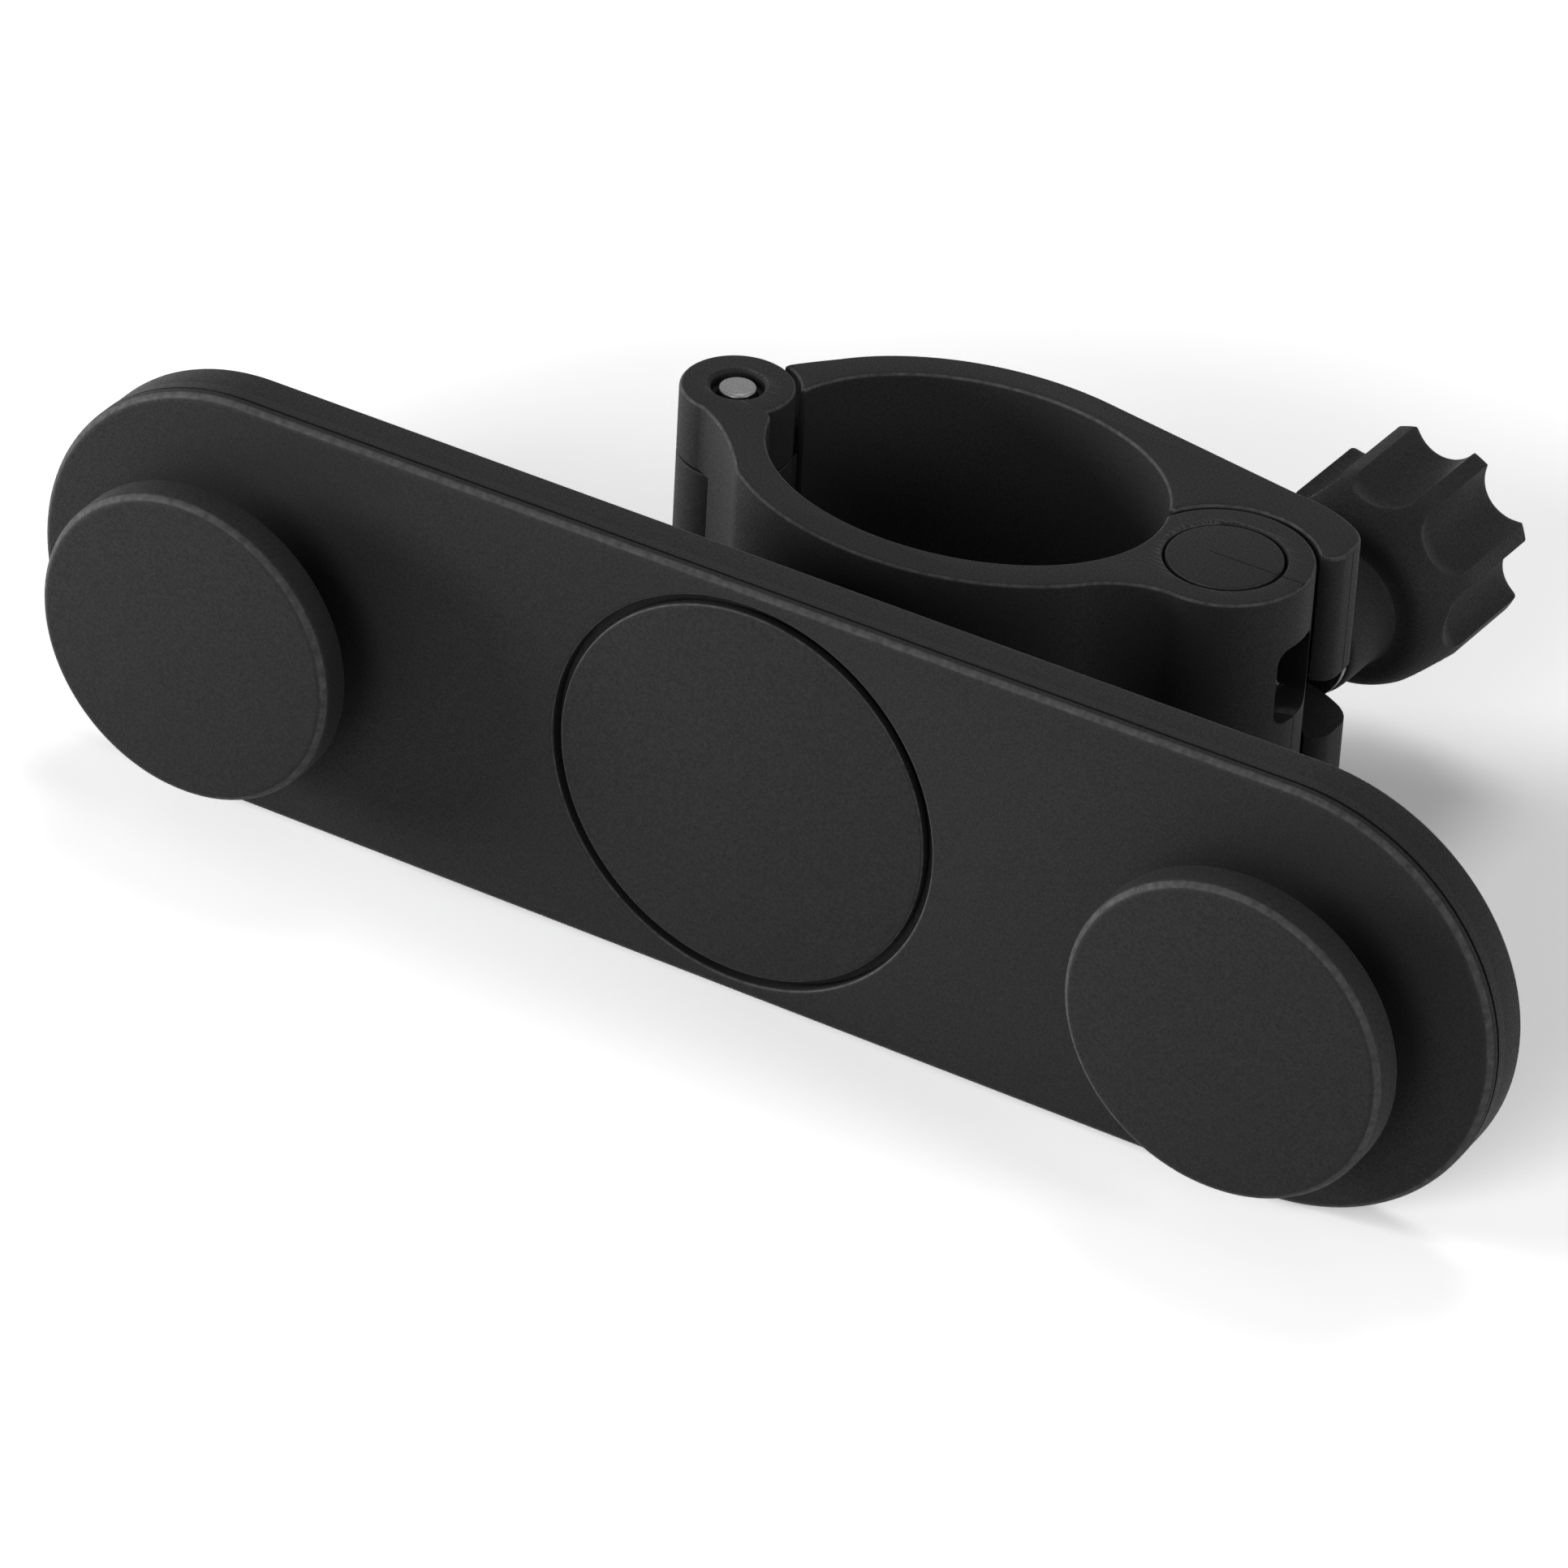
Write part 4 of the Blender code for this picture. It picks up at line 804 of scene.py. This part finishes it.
def window_cutter(near, far, low, high):
    """The round-cornered window in the boss's side."""
    half, corner = 2.8 * MM, 1.3 * MM
    centres = ((half - corner, low + corner), (half - corner, high - corner))
    centres += ((corner - half, high - corner), (corner - half, low + corner))
    outline = []
    for quarter, centre in enumerate(centres):
        outline += arc(centre, corner, -90.0 + 90.0 * quarter, 90.0 * quarter, 15.0)
    return loft("boss_window", [[(x, BARREL.y + y, z) for y, z in outline] for x in (near, far)])


def swing_slot(sizes):
    """The space that the bolt sweeps through the boss's wall."""
    rest = math.atan2(BOLT_WAY.y, BOLT_WAY.x)
    swung = rest + math.radians(JOINTS["bolt_swing"]["range_deg"][0])
    reach, half = sizes.boss_radius + 2 * MM, 2.85 * MM
    start = circle_point(BARREL, half, swung - math.pi / 2)
    end = circle_point(BARREL, half, rest + math.pi / 2)
    middle = circle_point(BARREL, reach * 1.3, (swung + rest) / 2)
    plan = [start, circle_point(start, reach, swung), middle, circle_point(end, reach, rest), end]
    height = sizes.slot_half_height
    return loft("swing_slot", [[(x, y, -height) for x, y in plan], [(x, y, height) for x, y in plan]])


def rear_arm_outline(sizes):
    """The rear ring wall, the straight run to the fork, its round end and the nest round the boss."""
    width, depth = sizes.bore_half_width, sizes.bore_half_depth
    bore = oval(width, depth, 18.5, 167.5)
    hinge_side = arc(HINGE, sizes.knuckle_radius + sizes.knuckle_gap, 29.0, 72.0)
    back = oval(width + sizes.front_wall, depth + sizes.rear_wall, 147.0, 79.0)
    end_arc = arc(BARREL, sizes.arm_end_radius, 88.0, 57.0)
    face_x = BARREL.x + sizes.arm_end_reach
    face_high = (face_x, BARREL.y + sizes.arm_end_radius * 0.66)
    face_low = (face_x, BARREL.y + sizes.arm_end_reach * 0.78)
    nest = arc(BARREL, sizes.boss_radius + sizes.nest_gap, 35.0, 149.0, 3.0)
    outline = bore + bend(bore[-1], circle_point(HINGE, 5.35 * MM, math.radians(27.0)), hinge_side[0], 4)[1:]
    hinge_tip = circle_point(HINGE, 5.5 * MM, math.radians(75.0))
    outline += hinge_side[1:] + bend(hinge_side[-1], hinge_tip, back[0], 4)[1:] + back[1:] + end_arc[:-1]
    outline += bend(end_arc[-1], (face_x - 0.1 * MM, BARREL.y + sizes.arm_end_radius * 0.76), face_high, 6)
    outline += bend(face_low, (face_x, BARREL.y + sizes.arm_end_reach * 0.6), nest[0], 6)[:-1] + nest
    tip = circle_point(BARREL, sizes.boss_radius + sizes.nest_gap, math.radians(151.0))
    return outline + bend(nest[-1], tip, bore[0], 4)[1:-1]


def clamp_rear_arm(sizes):
    low, high = -CLAMP_TOP, CLAMP_TOP
    arm = slab("rear_arm", rear_arm_outline(sizes), low, high, sizes.rim)
    inside = high - sizes.knuckle_height - 0.3 * MM
    knuckle = [(0.0, -inside), (sizes.knuckle_radius, -inside), (sizes.knuckle_radius, inside), (0.0, inside)]
    root = [
        (HINGE.x, HINGE.y),
        circle_point(HINGE, sizes.knuckle_radius * 0.9, math.radians(12.0)),
        tuple(value * 1.05 for value in oval(sizes.bore_half_width, sizes.bore_half_depth, 158.0, 159.0)[0]),
        oval(sizes.bore_half_width + sizes.front_wall, sizes.bore_half_depth + sizes.rear_wall, 146.0, 147.0)[0],
        circle_point(HINGE, sizes.knuckle_radius, math.radians(112.0)),
    ]
    web = loft("knuckle_web", [[(x, y, -inside) for x, y in root], [(x, y, inside) for x, y in root]])
    centre = lathe("knuckle", soften(knuckle, 0.25 * MM), facing(HINGE, UP, BACKWARDS), 96)
    arm = bored(arm, centre, web, operation="UNION")
    slot = 2.8 * MM
    height = sizes.slot_half_height
    return bored(
        arm,
        drill_down("pin_hole", HINGE, sizes.pin_radius + 0.15 * MM, low, high),
        drill("bolt_seat", BARREL, BOLT_WAY, 6.3 * MM, 12.5 * MM, 36.0 * MM),
        block("fork_slot", (BARREL.x - slot, BARREL.y + 4 * MM, -height), (1.0, 1.0, height)),
        block(
            "seam_end",
            (BARREL.x + sizes.arm_end_reach - sizes.seam, BARREL.y + 7.4 * MM - sizes.seam / 2, height),
            (1.0, BARREL.y + 7.4 * MM + sizes.seam / 2, high - sizes.rim),
        ),
    )


# ---------------------------------------------------------------- swing bolt and knob

def swing_barrel(sizes, seam):
    """The round pin that the bolt turns on, bored across for the bolt and its head."""
    outline = [(0.0, -CLAMP_TOP), (sizes.barrel_radius, -CLAMP_TOP), (sizes.barrel_radius, CLAMP_TOP), (0.0, CLAMP_TOP)]
    barrel = lathe("barrel", soften(outline, 0.32 * MM), facing(BARREL, UP, BACKWARDS), 96)
    radius = sizes.barrel_radius
    head_back = sizes.head_inset + sizes.head_height - radius + 0.3 * MM
    return bored(
        barrel,
        drill("bolt_hole", BARREL, BOLT_WAY, sizes.bolt_radius + 0.15 * MM, -radius, radius + MM, 48),
        drill("head_hole", BARREL, BOLT_WAY, sizes.head_radius + 0.15 * MM, -radius - MM, head_back, 48),
        block("seam", (BARREL.x - 1.5 * MM, BARREL.y - seam / 2, CLAMP_TOP - seam), (1.0, BARREL.y + seam / 2, 1.0)),
    )


def swing_bolt(sizes):
    """The bolt's head and core, with its thread wound on it."""
    core = sizes.bolt_radius - sizes.thread_depth
    head_start = sizes.head_inset - sizes.barrel_radius
    head_end = head_start + sizes.head_height
    outline = [(0.0, head_start), (sizes.head_radius, head_start), (sizes.head_radius, head_end), (core, head_end)]
    outline += [(core, sizes.end - 0.5 * MM), (core - 0.5 * MM, sizes.end), (0.0, sizes.end)]
    place = facing(BARREL, BOLT_WAY)
    bolt = lathe("bolt", soften(outline, 0.2 * MM), place, 64)
    start, end = sizes.barrel_radius, sizes.end - 1.2 * MM
    ridge = sizes.pitch * 0.44
    values = {
        "Radius": sizes.bolt_radius - ridge,
        "Ridge": ridge,
        "Length": end - start,
        "Turns": (end - start) / sizes.pitch,
    }
    thread = grown("thread", thread_tree(), values)
    thread.data.transform(Matrix.Translation(BARREL) @ BOLT_WAY.to_track_quat("Z", "Y").to_matrix().to_4x4() @ Matrix.Translation((0.0, 0.0, start)))
    return bolt, thread


def knob_skin_radius(sizes, outside, distance, turn):
    """The knob's radius at one place: the lower of its turned outline and its nearest flute, blended."""
    share = math.tau / sizes.lobes
    delta = (turn - sizes.first_lobe) % share - share / 2
    centre = sizes.knob_radius - sizes.flute_depth + sizes.flute_radius
    before = max(0.0, sizes.knob_end - sizes.grip_length - distance)
    span = sizes.flute_radius**2 - before**2 - (centre * math.sin(delta)) ** 2
    if before >= sizes.flute_radius or span <= 0.0:
        return outside
    flute = centre * math.cos(delta) - math.sqrt(span)
    soft = sizes.flute_blend
    return -soft * math.log(math.exp(-outside / soft) + math.exp(-flute / soft))


def knob_outline(sizes):
    """(radius, distance) from the neck's near edge to the grip's far edge."""
    neck, full = sizes.neck_radius, sizes.knob_radius
    grip = sizes.knob_end - sizes.grip_length
    shoulder = grip - 6.0 * MM
    corners = [(neck - 0.3 * MM, sizes.knob_start), (neck, sizes.knob_start + 0.3 * MM), (neck, shoulder - 0.35 * MM)]
    corners += [(neck + 0.5 * MM, shoulder), (neck + 2.2 * MM, shoulder + 0.45 * MM)]
    corners += [(neck + 3.1 * MM, shoulder + 2.0 * MM), (full - 0.18 * MM, grip - 1.2 * MM), (full, grip + 0.4 * MM)]
    rounded = soften(soften(corners, 1.6 * MM, 3), 0.5 * MM, 2)
    spaced = [rounded[0]]
    for (r0, s0), (r1, s1) in zip(rounded, rounded[1:]):
        count = max(1, math.ceil((s1 - s0) / (0.3 * MM)))
        spaced += [(r0 + (r1 - r0) * i / count, s0 + (s1 - s0) * i / count) for i in range(1, count + 1)]
    steps = 10
    last = spaced[-1][1]
    straight = sizes.knob_end - sizes.knob_edge - last
    return spaced + [(full, last + straight * i / steps) for i in range(1, steps + 1)]


def knob_body(sizes):
    """The star knob as one skin: inside of the hole, pocket, neck, shoulder, fluted grip and end."""
    place = facing(BARREL, BOLT_WAY)
    count = 30 * sizes.lobes
    turns = [sizes.first_lobe + math.tau * i / count for i in range(count)]

    def ring(radii, distance):
        return [place @ Vector((r * math.cos(a), r * math.sin(a), distance)) for r, a in zip(radii, turns)]

    inside = [(sizes.hole_radius, sizes.hole_end), (sizes.hole_radius, sizes.insert_end)]
    inside += [(sizes.insert_radius, sizes.insert_end), (sizes.insert_radius, sizes.knob_start)]
    loops = [[place @ Vector((0.0, 0.0, sizes.hole_end))]]
    loops += [ring([radius] * count, distance) for radius, distance in inside]
    for outside, distance in knob_outline(sizes):
        loops.append(ring([knob_skin_radius(sizes, outside, distance, a) for a in turns], distance))
    full = [knob_skin_radius(sizes, sizes.knob_radius, sizes.knob_end, a) for a in turns]
    for t in quarter_turn(6)[1:]:
        inset = sizes.knob_edge * (1 - math.cos(t))
        loops.append(ring([r - inset for r in full], sizes.knob_end - sizes.knob_edge * (1 - math.sin(t))))
    loops += [ring([(r - sizes.knob_edge) * share for r in full], sizes.knob_end) for share in (0.96, 0.7, 0.35)]
    loops.append([place @ Vector((0.0, 0.0, sizes.knob_end))])
    return loft("knob", loops)


# ---------------------------------------------------------------- operators

class PieceOperator:
    """What every builder here shares: it undoes in one step and reads its sizes from the scene."""

    bl_options = {"REGISTER", "UNDO"}


class PHONE_MOUNT_OT_finishes(PieceOperator, bpy.types.Operator):
    """Make the plastic, metal and nylon finishes"""

    bl_idname = "phone_mount.finishes"
    bl_label = "Finishes"

    def execute(self, context):
        made = make_finishes(context.scene.mount_finishes)
        if set(made) != {slot["slot"] for slot in frame["record"]["materials"]}:
            raise RuntimeError("a material slot of the record has no finish")
        return {"FINISHED"}


class PHONE_MOUNT_OT_plate(PieceOperator, bpy.types.Operator):
    """Build the front cover and the back housing"""

    bl_idname = "phone_mount.plate"
    bl_label = "Plate"

    def execute(self, context):
        sizes = context.scene.mount_plate
        black = surface("black_plastic")
        finish(front_cover(sizes), "plate_cover", black, "plate", ["front_cover"])
        finish(back_housing(sizes), "plate_housing", black, "plate", ["back_housing"])
        return {"FINISHED"}


class PHONE_MOUNT_OT_badge(PieceOperator, bpy.types.Operator):
    """Build the bare badge disc in its groove"""

    bl_idname = "phone_mount.badge"
    bl_label = "Badge disc"

    def execute(self, context):
        disc = badge_disc(context.scene.mount_plate)
        finish(disc, "badge_plain", surface("grained_plastic"), "plate", ["badge_disc"])
        return {"FINISHED"}


class PHONE_MOUNT_OT_studs(PieceOperator, bpy.types.Operator):
    """Build both mushroom studs"""

    bl_idname = "phone_mount.studs"
    bl_label = "Studs"

    def execute(self, context):
        sizes = context.scene.mount_plate
        grained = surface("grained_plastic")
        for name, side in (("left", -1), ("right", 1)):
            finish(stud(sizes, side), f"{name}_mushroom", grained, "plate", [f"{name}_stud"])
        return {"FINISHED"}


class PHONE_MOUNT_OT_stud_fittings(PieceOperator, bpy.types.Operator):
    """Build the screws and threaded inserts that hold the studs"""

    bl_idname = "phone_mount.stud_fittings"
    bl_label = "Stud screws and inserts"

    def execute(self, context):
        for side in ("left", "right"):
            screw = machine_screw("screw", f"{side}_stud_screw", 1)
            insert = sleeve("insert", f"{side}_stud_insert", BACKWARDS, 1.65 * MM, 0.12 * MM, 2)
            finish(screw, f"{side}_stud_bolt", surface("steel"), "plate", [f"{side}_stud_screw"])
            finish(insert, f"{side}_stud_bush", surface("brass"), "plate", [f"{side}_stud_insert"])
        return {"FINISHED"}


class PHONE_MOUNT_OT_case_screws(PieceOperator, bpy.types.Operator):
    """Set the four small screws in the housing's back"""

    bl_idname = "phone_mount.case_screws"
    bl_label = "Case screws"

    def execute(self, context):
        sizes = context.scene.mount_plate
        low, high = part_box("case_screw_1")
        head = (high[0] - low[0]) / 2
        sample = turned_screw("sample", Vector(), -BACKWARDS, head, high[1] - low[1])
        values = {
            "Screw": sample,
            "Width": 2 * sizes.screw_half_x,
            "Height": 2 * sizes.screw_half_z,
            "Place": (PLATE_X, high[1], 0.0),
        }
        screws = grown("case_screws", screw_pattern_tree(), values)
        bpy.data.objects.remove(sample, do_unlink=True)
        nodes = [f"case_screw_{index}" for index in (1, 2, 3, 4)]
        finish(screws, "case_screws", surface("steel"), "plate", nodes)
        return {"FINISHED"}


class PHONE_MOUNT_OT_clamp(PieceOperator, bpy.types.Operator):
    """Build the clamp's front half and rear arm"""

    bl_idname = "phone_mount.clamp"
    bl_label = "Clamp halves"

    def execute(self, context):
        sizes = context.scene.mount_clamp
        black = surface("black_plastic")
        finish(clamp_front_half(sizes), "clamp_front", black, "clamp", ["clamp_front_half"])
        finish(clamp_rear_arm(sizes), "clamp_rear", black, "rear_arm", ["clamp_rear_arm"])
        return {"FINISHED"}


class PHONE_MOUNT_OT_hinge_pin(PieceOperator, bpy.types.Operator):
    """Build the hinge pin with its rounded ends"""

    bl_idname = "phone_mount.hinge_pin"
    bl_label = "Hinge pin"

    def execute(self, context):
        radius = context.scene.mount_clamp.pin_radius
        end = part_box("hinge_pin")[1][2]
        outline = soften([(0.0, -end), (radius, -end), (radius, end), (0.0, end)], 0.4 * MM, 6)
        pin = lathe("pin", outline, facing(HINGE, UP, BACKWARDS), 64)
        finish(pin, "knuckle_pin", surface("steel"), "clamp", ["hinge_pin"])
        return {"FINISHED"}


class PHONE_MOUNT_OT_swivel(PieceOperator, bpy.types.Operator):
    """Build the swivel's screw, washer, insert and friction ring"""

    bl_idname = "phone_mount.swivel"
    bl_label = "Swivel fittings"

    def execute(self, context):
        screw = machine_screw("screw", "swivel_screw", -1)
        washer = sleeve("washer", "swivel_washer", BACKWARDS, 2.15 * MM, 0.1 * MM)
        insert = sleeve("insert", "swivel_insert", BACKWARDS, 2.15 * MM, 0.12 * MM, 2)
        ring = sleeve("ring", "friction_ring", BACKWARDS, 2.3 * MM, 0.1 * MM)
        finish(screw, "swivel_bolt", surface("steel"), "clamp", ["swivel_screw"])
        finish(washer, "swivel_disc", surface("steel"), "clamp", ["swivel_washer"])
        finish(insert, "swivel_bush", surface("brass"), "clamp", ["swivel_insert"])
        finish(ring, "swivel_ring", surface("grey_nylon"), "clamp", ["friction_ring"])
        return {"FINISHED"}


class PHONE_MOUNT_OT_swing_bolt(PieceOperator, bpy.types.Operator):
    """Build the barrel, the threaded bolt and the thrust washer"""

    bl_idname = "phone_mount.swing_bolt"
    bl_label = "Swing bolt"

    def execute(self, context):
        sizes = context.scene.mount_bolt
        barrel = swing_barrel(sizes, context.scene.mount_clamp.seam)
        bolt, thread = swing_bolt(sizes)
        washer = sleeve_at(
            "washer", BARREL + BOLT_WAY * 13.15 * MM, BOLT_WAY, 5.3 * MM, 2.65 * MM, 0.35 * MM, 0.12 * MM
        )
        finish(barrel, "barrel_pin", surface("black_plastic"), "bolt", ["bolt_barrel"])
        finish(bolt, "bolt_core", surface("steel"), "bolt", ["swing_bolt"])
        finish(thread, "bolt_thread", surface("steel"), "bolt", ["swing_bolt"])
        finish(washer, "thrust_disc", surface("steel"), "washer", ["thrust_washer"])
        return {"FINISHED"}


class PHONE_MOUNT_OT_knob(PieceOperator, bpy.types.Operator):
    """Build the star knob and its threaded insert"""

    bl_idname = "phone_mount.knob"
    bl_label = "Star knob"

    def execute(self, context):
        sizes = context.scene.mount_bolt
        half = 7.7 * MM / 2
        middle = BARREL + BOLT_WAY * (sizes.knob_start + 0.3 * MM + half)
        insert = sleeve_at("insert", middle, BOLT_WAY, 3.7 * MM, 2.65 * MM, half, 0.12 * MM, 2)
        finish(knob_body(sizes), "star_knob", surface("black_plastic"), "knob", ["knob_body"])
        finish(insert, "knob_bush", surface("brass"), "knob", ["knob_insert"])
        return {"FINISHED"}


# ---------------------------------------------------------------- stage

def add_camera(stage):
    """The camera, aimed at the plate's middle with a small offset and roll."""
    sin_a, cos_a = math.sin(stage.azimuth), math.cos(stage.azimuth)
    sin_e, cos_e = math.sin(stage.elevation), math.cos(stage.elevation)
    back = Vector((sin_a * cos_e, -cos_a * cos_e, sin_e))
    level = Vector((cos_a, sin_a, 0.0))
    upright = back.cross(level)
    sin_r, cos_r = math.sin(stage.roll), math.cos(stage.roll)
    right = level * cos_r - upright * sin_r
    up = level * sin_r + upright * cos_r
    aim = Vector((PLATE_X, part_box("front_cover")[0][1] - 0.15 * MM, 0.0)) + right * stage.aim_right + up * stage.aim_up
    camera = bpy.data.objects.new("camera", bpy.data.cameras.new("camera"))
    bpy.context.scene.collection.objects.link(camera)
    camera.matrix_world = Matrix.Translation(aim + back * stage.distance) @ Matrix((right, up, back)).transposed().to_4x4()
    camera.data.lens = stage.lens
    camera.data.sensor_width = 36.0
    camera.data.clip_start = 0.01
    bpy.context.scene.camera = camera


def add_area_light(name, place, target, size, power):
    lamp = bpy.data.lights.new(name, "AREA")
    lamp.shape = "DISK"
    lamp.size = size
    lamp.energy = power
    light = bpy.data.objects.new(name, lamp)
    bpy.context.scene.collection.objects.link(light)
    light.location = place
    light.rotation_euler = (Vector(target) - Vector(place)).to_track_quat("-Z", "Y").to_euler()


def background_ray(nodes, links):
    """1 for a ray that shows the background: straight from the camera, or by gloss or clear material."""
    path = nodes.new("ShaderNodeLightPath")
    total = path.outputs["Is Camera Ray"]
    for name in ("Is Glossy Ray", "Is Transmission Ray"):
        either = nodes.new("ShaderNodeMath")
        either.operation = "MAXIMUM"
        links.new(total, either.inputs[0])
        links.new(path.outputs[name], either.inputs[1])
        total = either.outputs["Value"]
    return total


def add_floor(stage):
    """A pale floor under the mount that keeps its shadow."""
    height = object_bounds()[0][2] - 0.1 * MM
    reach = 3.0
    corners = [(-reach, -reach, height), (reach, -reach, height), (reach, reach, height), (-reach, reach, height)]
    mesh = bpy.data.meshes.new("floor")
    mesh.from_pydata(corners, [], [(0, 1, 2, 3)])
    floor = new_object("floor", mesh)
    made = bpy.data.materials.new("pale_floor")
    made.use_nodes = True
    nodes, links = made.node_tree.nodes, made.node_tree.links
    nodes.clear()
    diffuse = nodes.new("ShaderNodeBsdfDiffuse")
    shown = background_ray(nodes, links)
    links.new(add_range(nodes, links, shown, stage.floor_bounce, stage.floor_shown, 0.0, 1.0), diffuse.inputs["Color"])
    place = nodes.new("ShaderNodeTexCoord")
    away = nodes.new("ShaderNodeVectorMath")
    away.operation = "LENGTH"
    links.new(place.outputs["Object"], away.inputs[0])
    fade = nodes.new("ShaderNodeMath")
    fade.operation = "MULTIPLY"
    links.new(shown, fade.inputs[0])
    distance = away.outputs["Value"]
    links.new(add_range(nodes, links, distance, 0.0, 1.0, stage.floor_near, stage.floor_far), fade.inputs[1])
    glow = nodes.new("ShaderNodeEmission")
    links.new(fade.outputs["Value"], glow.inputs["Strength"])
    both = nodes.new("ShaderNodeAddShader")
    output = nodes.new("ShaderNodeOutputMaterial")
    links.new(diffuse.outputs["BSDF"], both.inputs[0])
    links.new(glow.outputs["Emission"], both.inputs[1])
    links.new(both.outputs["Shader"], output.inputs["Surface"])
    mesh.materials.append(made)
    floor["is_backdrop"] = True


def add_room(stage):
    """An even room light that shows as white behind the mount."""
    world = bpy.data.worlds.new("room")
    bpy.context.scene.world = world
    world.use_nodes = True
    nodes, links = world.node_tree.nodes, world.node_tree.links
    background = nodes["Background"]
    background.inputs["Color"].default_value = (1.0, 1.0, 1.0, 1.0)
    shown = background_ray(nodes, links)
    strength = add_range(nodes, links, shown, stage.room_light, 1.0, 0.0, 1.0)
    links.new(strength, background.inputs["Strength"])


class PHONE_MOUNT_OT_stage(PieceOperator, bpy.types.Operator):
    """Set up the floor, the soft lights and the camera"""

    bl_idname = "phone_mount.stage"
    bl_label = "Stage"

    def execute(self, context):
        stage = context.scene.mount_stage
        context.scene.view_settings.view_transform = "Standard"
        add_camera(stage)
        add_floor(stage)
        add_room(stage)
        add_area_light("key_light", (-0.85, -0.38, 0.1), (0.0, 0.0, 0.0), 0.3, 8.5)
        add_area_light("front_light", (0.05, -0.9, 0.35), (0.0, 0.0, 0.0), 0.5, 3.4)
        add_area_light("top_light", (-0.1, 0.3, 0.85), (0.0, 0.0, 0.0), 0.4, 0.9)
        add_area_light("side_light", (0.75, -0.05, 0.25), (0.0, 0.0, 0.0), 0.3, 1.3)
        return {"FINISHED"}


# ---------------------------------------------------------------- panel and registration

GROUPS = {
    "mount_clamp": ClampSizes,
    "mount_bolt": BoltSizes,
    "mount_plate": PlateSizes,
    "mount_finishes": Finishes,
    "mount_stage": StageSizes,
}
OPERATORS = (
    PHONE_MOUNT_OT_finishes,
    PHONE_MOUNT_OT_plate,
    PHONE_MOUNT_OT_badge,
    PHONE_MOUNT_OT_studs,
    PHONE_MOUNT_OT_stud_fittings,
    PHONE_MOUNT_OT_case_screws,
    PHONE_MOUNT_OT_clamp,
    PHONE_MOUNT_OT_hinge_pin,
    PHONE_MOUNT_OT_swivel,
    PHONE_MOUNT_OT_swing_bolt,
    PHONE_MOUNT_OT_knob,
    PHONE_MOUNT_OT_stage,
)


class PHONE_MOUNT_PT_panel(bpy.types.Panel):
    """Sizes, finishes and builders of the phone mount"""

    bl_label = "Phone Mount"
    bl_idname = "PHONE_MOUNT_PT_panel"
    bl_space_type = "VIEW_3D"
    bl_region_type = "UI"
    bl_category = "Phone Mount"

    def draw(self, context):
        for operator in OPERATORS:
            self.layout.operator(operator.bl_idname)
        for name, group in GROUPS.items():
            box = self.layout.box()
            for prop in group.__annotations__:
                box.prop(getattr(context.scene, name), prop)


def register():
    for group in GROUPS.values():
        bpy.utils.register_class(group)
    for name, group in GROUPS.items():
        setattr(bpy.types.Scene, name, PointerProperty(type=group))
    for made in (*OPERATORS, PHONE_MOUNT_PT_panel):
        bpy.utils.register_class(made)


def unregister():
    for made in (PHONE_MOUNT_PT_panel, *reversed(OPERATORS)):
        bpy.utils.unregister_class(made)
    for name, group in reversed(GROUPS.items()):
        delattr(bpy.types.Scene, name)
        bpy.utils.unregister_class(group)


def corners(bounds):
    return [[float(value) for value in corner] for corner in bounds]


def main():
    register()
    frame_box = corners(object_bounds())
    for operator in OPERATORS:
        getattr(bpy.ops.phone_mount, operator.bl_idname.split(".")[1])()
    {"frame": frame_box, "finished": corners(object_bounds())}


if __name__ == "__main__":
    main()
